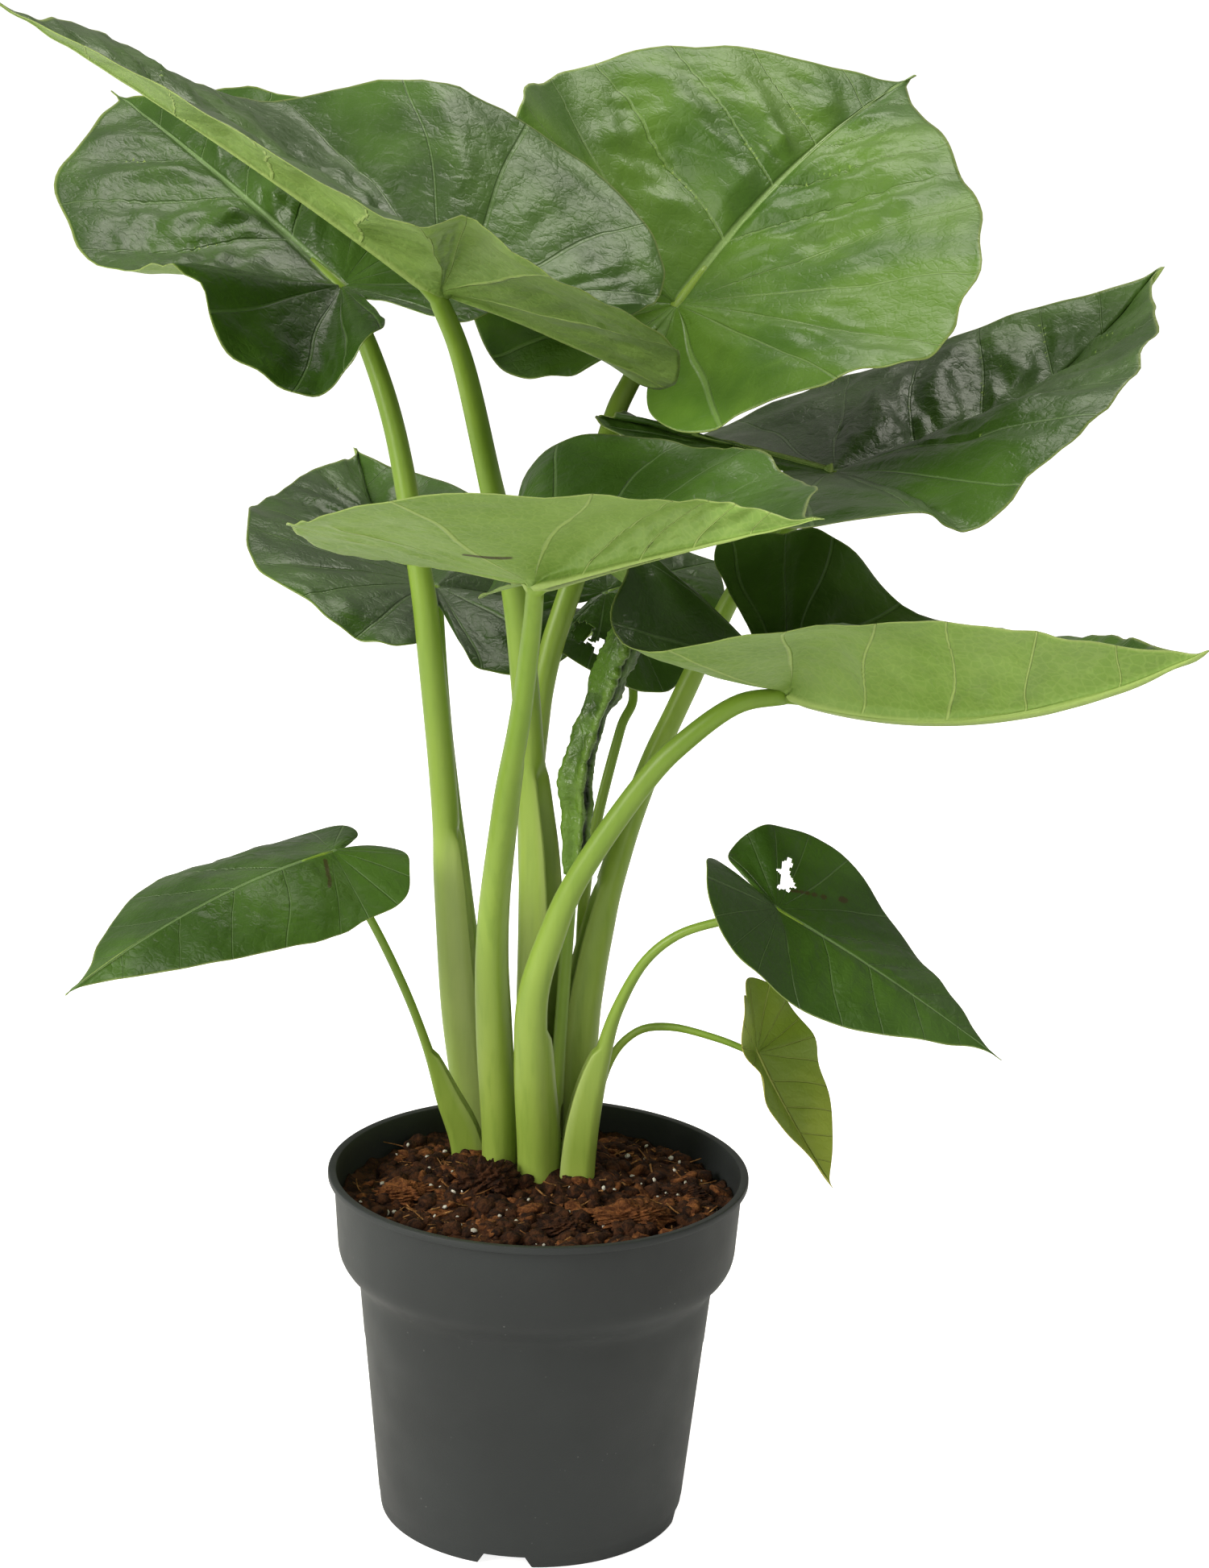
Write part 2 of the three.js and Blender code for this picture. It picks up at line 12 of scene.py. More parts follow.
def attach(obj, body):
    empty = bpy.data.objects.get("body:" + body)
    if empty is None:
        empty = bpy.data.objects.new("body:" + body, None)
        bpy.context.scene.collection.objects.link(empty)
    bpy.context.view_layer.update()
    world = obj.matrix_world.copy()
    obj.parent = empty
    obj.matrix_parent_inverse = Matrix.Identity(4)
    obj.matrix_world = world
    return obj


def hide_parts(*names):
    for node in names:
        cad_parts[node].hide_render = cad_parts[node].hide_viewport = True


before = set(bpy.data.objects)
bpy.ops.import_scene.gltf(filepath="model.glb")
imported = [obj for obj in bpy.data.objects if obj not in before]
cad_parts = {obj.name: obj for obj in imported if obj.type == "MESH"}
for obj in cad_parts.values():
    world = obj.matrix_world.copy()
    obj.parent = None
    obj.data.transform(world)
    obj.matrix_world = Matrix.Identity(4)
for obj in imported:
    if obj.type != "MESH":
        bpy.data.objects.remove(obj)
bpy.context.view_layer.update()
MM = 0.001

# Camera, at the photograph's viewing angle
PHOTO_HEIGHT = 1946
FOCAL_PIXELS = 4224
CAMERA_PLACE = (0, -1600, 790)
CAMERA_DOWN, CAMERA_TURN, CAMERA_ROLL = 14.4, 0.97, 1.73

# Blades. A grain says how many points a blade has, how its edge waves and how far pleats and ribs stand out.
BLADE_THICKNESS = 0.8
MARGIN_THICKNESS = 0.4
LARGE = dict(rays=140, rings=60, wave=2.5, waves=3.5, pleat=7.4, laterals=5, rib=4.6, edge=2.3,
             edge_size=52)
FOLDED = dict(LARGE, pleat=4.6)
SMALL = dict(rays=110, rings=60, wave=1.5, waves=3, pleat=1.9, laterals=5, rib=2.2, edge=0.9,
             edge_size=30)
TINY = dict(SMALL, pleat=0.8)
HALF_OUTLINE = [
    (1.025, 0), (0.985, 0.01), (0.95, 0.035), (0.88, 0.14), (0.72, 0.42), (0.48, 0.74), (0.2, 0.95),
    (-0.1, 1), (-0.5, 0.9), (-0.85, 0.64), (-1, 0.38), (-0.9, 0.17), (-0.5, 0.06), (-0.25, 0),
]
BEND_SPAN = 200
EDGE_FADE = 60
RAGGED = 0.8

# Veins: laterals leave the midrib at an angle and bend forward. A thick vein, the costa, runs into each lobe.
LATERAL_ANGLE = math.radians(50)
LATERAL_BEND = 0.0012
BASAL_STEP = math.radians(23)
COSTA_ANGLE, COSTA_SPREAD, COSTA_EXTRA, COSTA_DEPTH = math.radians(147), math.radians(9), 0.7, 0.45
VEIN_WANDER = dict(fade=60, ahead=3.5, ahead_size=90, sideways=1.5, sideways_size=70)
VEIN_HALF_WIDTH = dict(far=0.35, near=0.95, fade=28)
RIB_START, OFF_RIB = -3, 9
RIB_HALF_WIDTH = dict(tip=0.5, foot=2.2)

# Relief between the veins: shares of a pleat's height, sizes of its features, and where it lies calm
RELIEF = dict(pillow=0.8, level=0.4, cross=0.2, pucker=0.13, crumple=0.22, ridges=0.13)
CROSS_SIZE, PUCKER_SIZE, CRUMPLE_SIZE, DRIFT_SIZE, FRILL_SIZE = (22, 5), (10, 4), (55, 8), 110, 24
CALM = dict(front=60, lobes=95, rib=10, lobe_share=0.55)
FRILL_HEIGHT, RIB_GROOVE, GROOVE_FADE = 0.9, 0.9, 12

# Petioles
PETIOLE_SIDES = 28
PETIOLE_STEP = 5
PETIOLE_FLATNESS = 0.9
PETIOLE_SWELL = 0.015
SHEATH_GROOVE = 1.4
SHEATH_FADE = 1 / 3
# How strongly shade is painted into the groove between a sheath's wings, and the width of their pale rim,
# which is partly painted light shining through them
GROOVE_SHADE, RIM_WIDTH = 0.35, 0.16
MERGE = dict(share=8, depth=(0.45, 0.35), first_width=0.75, last_width=0.42, start=0.6)

# Leaves: the same forms as the part's own. Each half is (width, turn, rise, curl). Each sheath is the way it
# opens, the height where its wings end and how far they stand out. Scars are lines with a half width. Some
# stalks have their own strength of painted shade in the groove, or their own width of the pale rim, which
# is partly painted light shining through the wings.
LEAVES = [
    dict(
        name="top_left_front", finish="dark", grain=LARGE,
        at=(-57, 10, 614), heading=203, pitch=35, roll=-19,
        tip=245, lobe=95, tip_curl=-7,
        left=(140, (15, -10, 10, 30), (20, 30, 30, 15), (-10, -10, -5, -10)),
        right=(144, (15, 6, 28, 15), (5, 30, 33, 28), (-15, -9, -2, -2)),
        stem=[(-2, 60, 140), (-4, 59, 225), (-5, 58, 310), (-8, 56, 358), (-13, 53, 415), (-20, 48, 469),
              (-32, 38, 519), (-46, 22, 579)],
        girth=(10, 10, 8, 7.2, 6, 4.8), sheath=(-30, 372, 3),
    ),
    dict(
        name="top_left_back", finish="dark", grain=LARGE,
        at=(-109, 95, 606), heading=137, pitch=29, roll=-33,
        tip=205, lobe=80, tip_curl=-12,
        left=(105, (25, 10, 15, 0), (25, 40, 20, 30), (0, 0, -5, 0)),
        right=(84, (0, 0, 0, -5), (10, 8, 12, 12), (-5, -10, -10, -5)),
        stem=[(-33, 67, 140), (-36, 66, 178), (-45, 64, 243), (-50, 60, 312), (-52, 58, 352),
              (-61, 57, 434), (-67, 61, 473), (-80, 76, 535), (-94, 88, 575)],
        # No painted shade in this stalk's groove, and a wide pale rim that is painted light shining through
        # its sheath wings.
        girth=(8.4, 8, 7.4, 6.2, 5), sheath=(-5, 338, 4), shade=0, pale=0.75,
    ),
    dict(
        # Its finish is lighter, with painted light shining through the leaf from behind.
        name="top_right", finish="bright", grain=LARGE,
        at=(59, 135, 597), heading=51, pitch=39, roll=10,
        tip=245, lobe=80, tip_curl=-26,
        left=(125, (10, 0, -10, 0), (25, 45, 10, 10), (-5, 5, -10, -5)),
        right=(155, (-5, 0, -5, 0), (0, 10, 15, 5), (-10, -10, -5, -10)),
        stem=[(3, 86, 140), (-5, 84, 260), (-9, 80, 346), (-6, 77, 397), (0, 79, 430), (12, 89, 471),
              (26, 130, 530), (37, 140, 557)],
        girth=(7, 6.5, 6, 5.6, 4.6), sheath=(-80, 260, 2),
    ),
    dict(
        name="right_back", finish="dark", grain=LARGE,
        at=(140, 105, 518), heading=31, pitch=2, roll=-11,
        tip=245, lobe=115, tip_curl=43,
        left=(110, (0, 15, 34, -5), (24, 16, 20, 20), (0, -5, 0, -5)),
        right=(125, (10, 10, -10, 0), (15, -5, -5, 0), (-10, -15, -10, -10)),
        stem=[(20, 50, 140), (20, 51, 183), (20, 56, 237), (25, 61, 275), (34, 68, 316), (50, 79, 365),
              (66, 89, 401), (80, 93, 432), (99, 98, 468)],
        # This stalk has the most painted shade in its groove.
        girth=(7.5, 10, 7, 5.8, 4.6), sheath=(190, 310, 2.3), shade=1,
    ),
    dict(
        name="middle_front", finish="dark", grain=FOLDED,
        at=(-9, -70, 491), heading=-50, pitch=19, roll=2,
        tip=190, lobe=80, tip_curl=-3,
        left=(120, (5, -5, 10, 0), (15, 25, 35, 5), (-10, -5, 0, -10)),
        right=(120, (-25, 5, 0, 15), (15, 25, 25, 20), (-10, -5, -5, -5)),
        stem=[(-21, 27, 140), (-22, 25, 192), (-26, 20, 250), (-27, 13, 302), (-21, -8, 369),
              (-14, -30, 420), (-10, -54, 463)],
        girth=(7.4, 8, 6.4, 5.2, 4.4), sheath=(50, 395, 2.5),
        scars=[((9, -43), (15, -30), 1.6)],
    ),
    dict(
        name="right_front", finish="dark", grain=FOLDED,
        at=(115, 0, 428), heading=-48, pitch=-4, roll=-4,
        tip=250, lobe=105, tip_curl=37,
        left=(95, (0, 5, 10, -5), (25, 25, 40, 30), (-5, -10, 0, 0)),
        right=(102, (1, 15, 16, -3), (31, 7, 43, 18), (-7, 13, -16, 5)),
        stem=[(-1, 13, 140), (-2, 12, 183), (-5, 9, 228), (-5, 7, 267), (4, 4, 302), (17, 1, 334),
              (46, -4, 381), (65, -6, 403), (90, -6, 422)],
        girth=(9.4, 8.8, 6.2, 5.2, 4.2), sheath=(55, 250, 3.2),
    ),
    dict(
        name="left_back", finish="dark", grain=LARGE,
        at=(-62, 145, 446), heading=113, pitch=-3, roll=20,
        tip=185, lobe=80, tip_curl=36,
        left=(100, (0, 0, 0, -5), (10, 0, -10, -15), (-5, -10, -15, -15)),
        right=(90, (0, 0, 0, 10), (25, 5, 10, -15), (0, -10, -5, -15)),
        stem=[(-24, 83, 140), (-33, 90, 220), (-45, 104, 300), (-56, 125, 376)],
        girth=(6.5, 6, 5.2, 4.6), sheath=(-80, 240, 2),
    ),
    dict(
        name="middle_back", finish="dark", grain=SMALL,
        at=(27, 125, 449), heading=43, pitch=9, roll=31,
        tip=89, lobe=48, tip_curl=-12,
        left=(50, (0, 0, 0, 0), (0, 5, 5, 0), (-10, -10, -10, -10)),
        right=(61, (0, 0, 0, 0), (5, -10, -5, 0), (-10, -10, -10, -10)),
        stem=[(18, 82, 140), (19, 82, 230), (20, 83, 300), (26, 88, 341), (36, 98, 383), (42, 107, 403)],
        girth=(3.4, 3.2, 2.8, 2.4, 2.2), sheath=(-85, 200, 2),
        holes=[
            [(-35, -15), (-29, -10), (-24, -12), (-24, -17), (-31, -22), (-37, -21)],
            [(-30, -25), (-23, -25), (-25, -30), (-33, -32)],
        ],
    ),
    dict(
        name="low_left", finish="dark", grain=SMALL,
        at=(-106, 20, 336), heading=226, pitch=-2, roll=-7,
        tip=165, lobe=29, tip_curl=-24,
        left=(47, (5, 0, 0, 5), (-10, -15, 0, 5), (-15, -15, -10, -10)),
        right=(55, (15, 0, 0, 0), (-10, -10, -5, 5), (-10, -15, -10, -5)),
        stem=[(-38, 45, 140), (-41, 43, 175), (-50, 39, 203), (-58, 34, 231), (-70, 27, 265),
              (-86, 19, 301)],
        girth=(5.6, 4.6, 2.7, 2.4, 2.2), sheath=(0, 228, 7),
        scars=[((9, 4), (23, 21), 1.1)],
    ),
    dict(
        name="low_right", finish="dark", grain=SMALL,
        at=(113, -10, 321), heading=-22, pitch=-23, roll=17,
        tip=127, lobe=42, tip_curl=-10,
        left=(53, (-5, 5, 5, -10), (0, 10, 15, 5), (-10, -5, -5, -10)),
        right=(50, (0, 0, -5, 0), (-5, 5, 20, 25), (-10, -10, -5, 0)),
        stem=[(22, 13, 140), (23, 13, 183), (26, 13, 212), (31, 13, 238), (37, 10, 261), (49, 5, 287),
              (65, 1, 303), (86, -3, 312)],
        girth=(6.4, 6, 3.4, 2.5, 2.2), sheath=(180, 240, 5),
        holes=[
            [(-5, 12), (0, 13), (1, 18), (-3, 22), (-4, 26), (-8, 34), (-8, 27), (-9, 22), (-6, 19)],
        ],
        scars=[((1, 14), (14, 24), 0.8), ((14, 24), (30, 40), 0.6)],
    ),
    dict(
        name="lowest_right", finish="yellow", grain=TINY,
        at=(107, 10, 240), heading=-13, pitch=-62, roll=19,
        tip=77, lobe=36, tip_curl=9,
        left=(31, (0, 0, 0, 0), (25, 35, 25, 15), (-5, -5, -5, -5)),
        right=(26, (0, 0, 0, 0), (20, 30, 25, 30), (-10, -5, -5, -5)),
        stem=[(24, 34, 140), (25, 34, 180), (33, 33, 222), (46, 30, 242), (64, 24, 248), (88, 16, 245)],
        girth=(3, 2.4, 2, 1.8), sheath=(180, 190, 2),
    ),
]

# The rolled leaf
ROLL_STEM = [(7, 35, 140), (9, 40, 230), (13, 48, 319.7)]
ROLL_GIRTH, ROLL_SHEATH = (4, 3.8, 3.4), (0, 200, 1)
ROLL_LINE = [
    (14, 48, 320), (15, 48, 347), (15, 48, 375), (22, 48, 400), (29, 48, 421), (35, 48, 438), (39, 48, 453),
    (42, 48, 466),
]
ROLL_RADII = (5, 6.8, 7.6, 6, 8, 7.6, 5.6, 1)
ROLL_RINGS, ROLL_SIDES, ROLL_LENGTH, ROLL_FULLNESS = 110, 56, 150, 1.1
ROLL_CRINKLE, ROLL_FOLD, ROLL_FINE_FOLD = 0.14, 0.12, 0.07
ROLL_LAP = dict(angle=1.75, spread=0.24, height=0.34)
ROLL_SEAM = dict(angle=2.2, spread=0.26, depth=0.36)

# Pot and soil
WALL, FLOOR_UNDERSIDE, BOSS_RADIUS, FOOT_RADIUS = 1.8, 5.2, 30, 76.5
POT_SEGMENTS = 192
SHARP_EDGE = math.radians(32)
NOTCH = dict(count=4, width=29, top_width=20.5, height=6, reach=14, first_angle=-99, past=4, below=-1)
DRAIN = dict(count=6, radius=6, circle=54, bottom=3, top=9, segments=24)
BLOCK_SIDES = [(0, 3, 2, 1), (4, 5, 6, 7), (0, 1, 5, 4), (1, 2, 6, 5), (2, 3, 7, 6), (3, 0, 4, 7)]
POT_OUTSIDE = [
    (0, 0), (BOSS_RADIUS, 0), (BOSS_RADIUS + 4, FLOOR_UNDERSIDE), (71.5, FLOOR_UNDERSIDE), (73, 0), (75.3, 0),
    (76.2, 0.6), (76.5, 2), (76.9, 6), (77.3, 9), (77.5, 9.6), (85.7, 93.6), (86, 94.2), (88, 115),
    (88.5, 120), (89.2, 123), (90.3, 125), (92.8, 128.4), (96, 132), (97.5, 134.3), (98.5, 136.5),
    (99.2, 139), (99.6, 141.5), (102, 176),
]
POT_LIP = [
    (102.8, 176.1), (104.2, 176.4), (104.8, 176.7), (105, 177.2), (105, 179), (104.8, 179.6), (104.2, 180),
    (102, 180), (101.1, 179.6), (100.6, 178.6),
]
POT_INSIDE = [
    (100.2, 172), (97.7, 141.5), (96.6, 137), (93.9, 132.5), (90.7, 129), (88.5, 126), (86.7, 121),
    (86.2, 115), (75.1, 12), (73.5, FLOOR_UNDERSIDE + WALL), (BOSS_RADIUS + 4.5, FLOOR_UNDERSIDE + WALL),
    (BOSS_RADIUS + 1, WALL), (0, WALL),
]
SOIL_EDGE_Z, SOIL_EDGE_RADIUS = 163, 99
SOIL_MOUND = dict(x=0, y=30, height=12, spread=52)
SOIL_RINGS, SOIL_SIDES = 60, 180
SOIL_RELIEF = [(2.2, 61, 46), (1.8, 62, 18), (1.0, 63, 8)]
BED = dict(step=4, half=92, radius=91, round_stem=4)
LOOSE_LIFT = 2.6
CLUMPS = [
    ("peat_clump", (-27, -2, 173), (25, 20, 19), 81, "peat"),
    ("coir_clump_right", (45, -32, 168), (32, 22, 12), 82, "coir"),
    ("coir_clump_left", (-66, -4, 166), (24, 18, 11), 83, "coir"),
    ("peat_clump_front", (12, -42, 166), (22, 15, 9), 84, "peat"),
    ("peat_clump_right", (72, 6, 165), (22, 18, 10), 85, "peat"),
]
CLUMP_RELIEF = [(0.3, 0.5, 0.7, -0.6), (0.13, 0.16, -1, 0.8), (0.06, 0.06, 1.3, -1)]
GRAIN_RELIEF, GRAIN_RELIEF_SIZE = 0.22, 3
FIBRE_RADIUS = 0.022
STREWN = dict(
    soil_clods=dict(per_square_metre=19000, seed=11, smallest=3.0, largest=12.5, tilt=0.6),
    coir_chips=dict(per_square_metre=9000, seed=12, smallest=3.0, largest=13.0, tilt=0.7),
    perlite_beads=dict(per_square_metre=3600, seed=13, smallest=1.2, largest=4.0, tilt=1.0),
    coir_threads=dict(per_square_metre=14000, seed=14, smallest=9.0, largest=30.0, tilt=0.4),
)
CLEARANCE = 0.3

# Colours
# The top right leaf's finish has lighter upper colours than the dark finish: painted light shining through
# the leaf from behind.
LEAF_COLOURS = dict(
    dark=("2f4b15", "446423", "7b9762", "6c8b38", "7e9b4b", "a3b868", "93a35c"),
    bright=("3f6219", "587b27", "8fac68", "5c8229", "73963a", "9eb664", "a3b468"),
    yellow=("6f8528", "8b9c35", "acb35c", "90a03e", "a4ae4e", "babe6e", "b5a658"),
)
LEAF_GLOSS = dict(dark=0.33, bright=0.35, yellow=0.45)
LEAF_RELIEF = dict(dark=0.6, bright=0.4, yellow=0.5)
SCAR_COLOUR = "3a3216"
# The groove colour is painted shade inside the sheath wings. The rim colour is the wings' paler edge and,
# where the rim is wide, painted light shining through them.
PETIOLE_COLOURS = dict(
    foot="9fb552", top="73922d", patch="88a33e", streak="69892a", groove="55752a", pale_rim_and_glow="c3cf8e",
)
# The seam colour is painted shadow in the deep crease down the roll. The fold colour is painted light where
# the folds and the lap stand out.
ROLL_COLOURS = dict(dark="2c4510", light="4a6a1e", foot="66882f", fold_highlight="6f8d3d", seam="16260c")
POT_COLOURS = dict(dark="292c2d", light="2f3334", dust="8d8f8c")
SOIL_FINISHES = dict(
    peat=("1f110b", "4a2c19", 260.0), coir=("4e2c17", "80502c", 320.0), straw=("6b4423", "a87c4c", 320.0),
    perlite=("bcb8ad", "e4e0d6", 400.0),
)


# Curves and frames

def along(points, t):
    """Points of a smooth curve through the given points, at t from 0 to 1."""
    p = np.asarray(points, float)
    if p.ndim == 1:
        p = p[:, None]
    p = np.vstack([2 * p[0] - p[1], p, 2 * p[-1] - p[-2]])
    s = np.clip(np.asarray(t, float), 0, 1) * (len(p) - 3)
    i = np.minimum(s.astype(int), len(p) - 4)
    f = (s - i)[:, None]
    a, b, c, d = p[i], p[i + 1], p[i + 2], p[i + 3]
    return 0.5 * (2 * b + (c - a) * f + (2 * a - 5 * b + 4 * c - d) * f**2 + (3 * b - a - 3 * c + d) * f**3)


def leaf_frame(leaf):
    h, p, r = (math.radians(leaf[key]) for key in ("heading", "pitch", "roll"))
    ahead = np.array([math.cos(p) * math.cos(h), math.cos(p) * math.sin(h), math.sin(p)])
    level = np.array([-math.sin(h), math.cos(h), 0])
    leftward = math.cos(r) * level + math.sin(r) * np.cross(ahead, level)
    return ahead, leftward, np.cross(ahead, leftward)


def waves(x, y, seed, size):
    """Smooth irregular values between about -1 and 1 over a plane, for features of the given size."""
    rng = np.random.default_rng(seed)
    total = np.zeros(np.broadcast(x, y).shape)
    for _ in range(7):
        angle, phase = rng.uniform(0, 2 * math.pi, 2)
        k = rng.uniform(0.6, 1.5) * 2 * math.pi / size
        total += np.sin(k * (x * math.cos(angle) + y * math.sin(angle)) + phase)
    return total / 3.2


# Meshes

def metres(points):
    return np.asarray(points, float) * MM


def make_piece(name, points, faces, node, material, attributes=None, flat=None):
    """A mesh from points in millimetres, which stands for its CAD node. flat becomes its UV layer."""
    mesh = bpy.data.meshes.new(name)
    mesh.from_pydata(metres(points).tolist(), [], faces)
    mesh.validate()
    mesh.polygons.foreach_set("use_smooth", [True] * len(mesh.polygons))
    for key, values in (attributes or {}).items():
        layer = mesh.attributes.new(key, "FLOAT", "POINT")
        layer.data.foreach_set("value", np.asarray(values, np.float32))
    if flat is not None:
        corner = np.empty(len(mesh.loops), np.int32)
        mesh.loops.foreach_get("vertex_index", corner)
        layer = mesh.uv_layers.new(name="flat")
        layer.data.foreach_set("uv", metres(flat)[corner].astype(np.float32).ravel())
    mesh.materials.append(material)
    return declare(put(name, mesh), node)


def put(name, data):
    """A new object in the scene, at the origin and unturned."""
    thing = bpy.data.objects.new(name, data)
    bpy.context.collection.objects.link(thing)
    return thing


def declare(piece, node):
    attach(piece, "root")
    if node:
        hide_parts(node)
    return piece


def with_ends(values, first=0, last=0):
    """Values on rings of points, with one for the point before them and one for the point after."""
    return np.concatenate([[first], np.ravel(values), [last]])


def ring_faces(rings, sides):
    """Quads between rings of points, with a point before the first ring and one after the last."""
    last = 1 + rings * sides
    faces = []
    for j in range(sides):
        k = (j + 1) % sides
        faces.append((0, 1 + k, 1 + j))
        faces.append((last, last - sides + j, last - sides + k))
    for i in range(rings - 1):
        low = 1 + i * sides
        for j in range(sides):
            k = (j + 1) % sides
            faces.append((low + j, low + k, low + sides + k, low + sides + j))
    return faces


def vertex_normals(points, faces):
    normals = np.zeros_like(points)
    quads = np.array([f if len(f) == 4 else (*f, f[2]) for f in faces])
    a, b, c, d = (points[quads[:, i]] for i in range(4))
    face = np.cross(c - a, d - b)
    for i in range(4):
        np.add.at(normals, quads[:, i], face)
    return normals / np.maximum(np.linalg.norm(normals, axis=1, keepdims=True), 1e-9)


# Blades

def half_rays(leaf, side):
    """The rays of one half, tip to notch: flat end points, then azimuth, rise and curl in radians."""
    own, other = (leaf["left"], leaf["right"]) if side > 0 else (leaf["right"], leaf["left"])
    outline = along(HALF_OUTLINE, np.linspace(0, 1, leaf["grain"]["rays"] + 1))
    ahead = outline[:, 0] * np.where(outline[:, 0] > 0, leaf["tip"], leaf["lobe"])
    flat = np.stack([ahead, outline[:, 1] * own[0]], 1)
    angle = np.degrees(np.arctan2(flat[:, 1], flat[:, 0]))
    knots = [(0, 0, leaf["tip_curl"]), *zip(*own[1:]), (-other[1][3], other[2][3], other[3][3])]
    bend = along(knots, angle / BEND_SPAN)
    bend[:, 0] += angle
    return flat, angle, np.radians(bend)


def blade_sheet(leaf):
    """The blade's middle surface: points, and for each its flat place, angle and share of its ray."""
    grain = leaf["grain"]
    q = np.linspace(0, 1, grain["rings"] + 1)[1:, None]
    ahead, leftward, above = leaf_frame(leaf)
    columns = []
    for side in (1, -1):
        flat, angle, bend = half_rays(leaf, side)
        azimuth, rise, curl = bend.T
        curl = np.where(np.abs(curl) < 1e-4, 1e-4, curl)
        length = np.hypot(*flat.T)
        out = length * (np.sin(rise + curl * q) - np.sin(rise)) / curl
        lift = length * (np.cos(rise) - np.cos(rise + curl * q)) / curl
        ripple = grain["wave"] * np.sin(2 * math.pi * grain["waves"] * np.radians(angle) / math.pi) * q**3
        edge = grain["edge"] * waves(flat[:, 0], side * flat[:, 1], leaf["heading"] % 360, grain["edge_size"])
        out += edge * np.minimum(length / EDGE_FADE, 1) * q**6
        place = (
            (out * np.cos(azimuth))[..., None] * ahead
            + side * (out * np.sin(azimuth))[..., None] * leftward
            + (lift + ripple)[..., None] * above
        )
        data = np.stack([flat[:, 0] * q, side * flat[:, 1] * q, angle + 0 * q, q + 0 * angle], -1)
        both = np.concatenate([place, data], -1)
        columns.append(both if side > 0 else both[:, -2:0:-1])
    grid = np.concatenate(columns, 1)
    points = np.vstack([[0, 0, 0], grid[..., :3].reshape(-1, 3)]) + leaf["at"]
    data = np.vstack([[0, 0, 0, 0], grid[..., 3:].reshape(-1, 4)])
    return points, data, grid.shape[1]


def sheet_faces(leaf, data, around):
    rings = leaf["grain"]["rings"]
    faces = [(0, 1 + j, 1 + (j + 1) % around) for j in range(around)]
    for i in range(rings - 1):
        low = 1 + i * around
        for j in range(around):
            k = (j + 1) % around
            faces.append((low + j, low + around + j, low + around + k, low + k))
    for outline in leaf.get("holes", ()):
        inside = in_outline(data[:, 0], data[:, 1], outline)
        faces = [f for f in faces if not inside[list(f)].any()]
    return faces


def in_outline(x, y, outline):
    """Which points lie in a hole's outline, made ragged."""
    ragged_x = x + RAGGED * np.sin(0.9 * y + 0.5 * x)
    ragged_y = y + RAGGED * np.sin(1.1 * x)
    inside = np.zeros(len(x), bool)
    for (ax, ay), (bx, by) in zip(outline, outline[1:] + outline[:1]):
        crosses = (ay > ragged_y) != (by > ragged_y)
        at = ax + (bx - ax) * (ragged_y - ay) / ((by - ay) or 1e-9)
        inside ^= crosses & (ragged_x < at)
    return inside


def veins(leaf, u, v, seed):
    """Which lateral a place belongs to, whole numbers on a vein, and the step between two in vein widths."""
    laterals = leaf["grain"]["laterals"]
    reach = leaf["tip"]
    fade = np.minimum(np.hypot(u, v) / VEIN_WANDER["fade"], 1)
    u = u + VEIN_WANDER["ahead"] * fade * waves(u, v, seed, VEIN_WANDER["ahead_size"])
    sideways = VEIN_WANDER["sideways"] * fade * waves(u, v, seed + 1, VEIN_WANDER["sideways_size"])
    a = np.abs(v + sideways * np.minimum(np.abs(v) / 10, 1))
    first = a / math.tan(LATERAL_ANGLE) + LATERAL_BEND * a * a
    front = laterals * np.maximum(u - first, 0) / reach
    distance = np.hypot(u, v) + 1e-3
    behind = np.arctan2(a, u) - np.arctan2(a, first)
    phase = np.where(u > first, front, -np.maximum(behind, 0) / BASAL_STEP)
    spacing = np.where(u > first, reach / laterals * math.sin(LATERAL_ANGLE), distance * BASAL_STEP)
    size = leaf["grain"]["rib"] / LARGE["rib"]
    width = VEIN_HALF_WIDTH
    half_width = size * (width["far"] + width["near"] * np.clip(1 - distance / reach, 0, 1))
    half_width *= 1 + COSTA_EXTRA * np.exp(-(((np.arctan2(a, u) - COSTA_ANGLE) / COSTA_SPREAD) ** 2))
    half_width *= distance**2 / (distance**2 + (width["fade"] * size) ** 2)
    return phase, spacing / half_width


def scar_mask(leaf, u, v):
    """One on the leaf's scars, fading to zero beside them."""
    mask = np.zeros(len(u))
    for (ax, ay), (bx, by), half_width in leaf.get("scars", ()):
        t = np.clip(((u - ax) * (bx - ax) + (v - ay) * (by - ay)) / ((bx - ax) ** 2 + (by - ay) ** 2), 0, 1)
        away = np.hypot(u - ax - t * (bx - ax), v - ay - t * (by - ay))
        mask = np.maximum(mask, np.exp(-((away / half_width) ** 2)))
    return mask


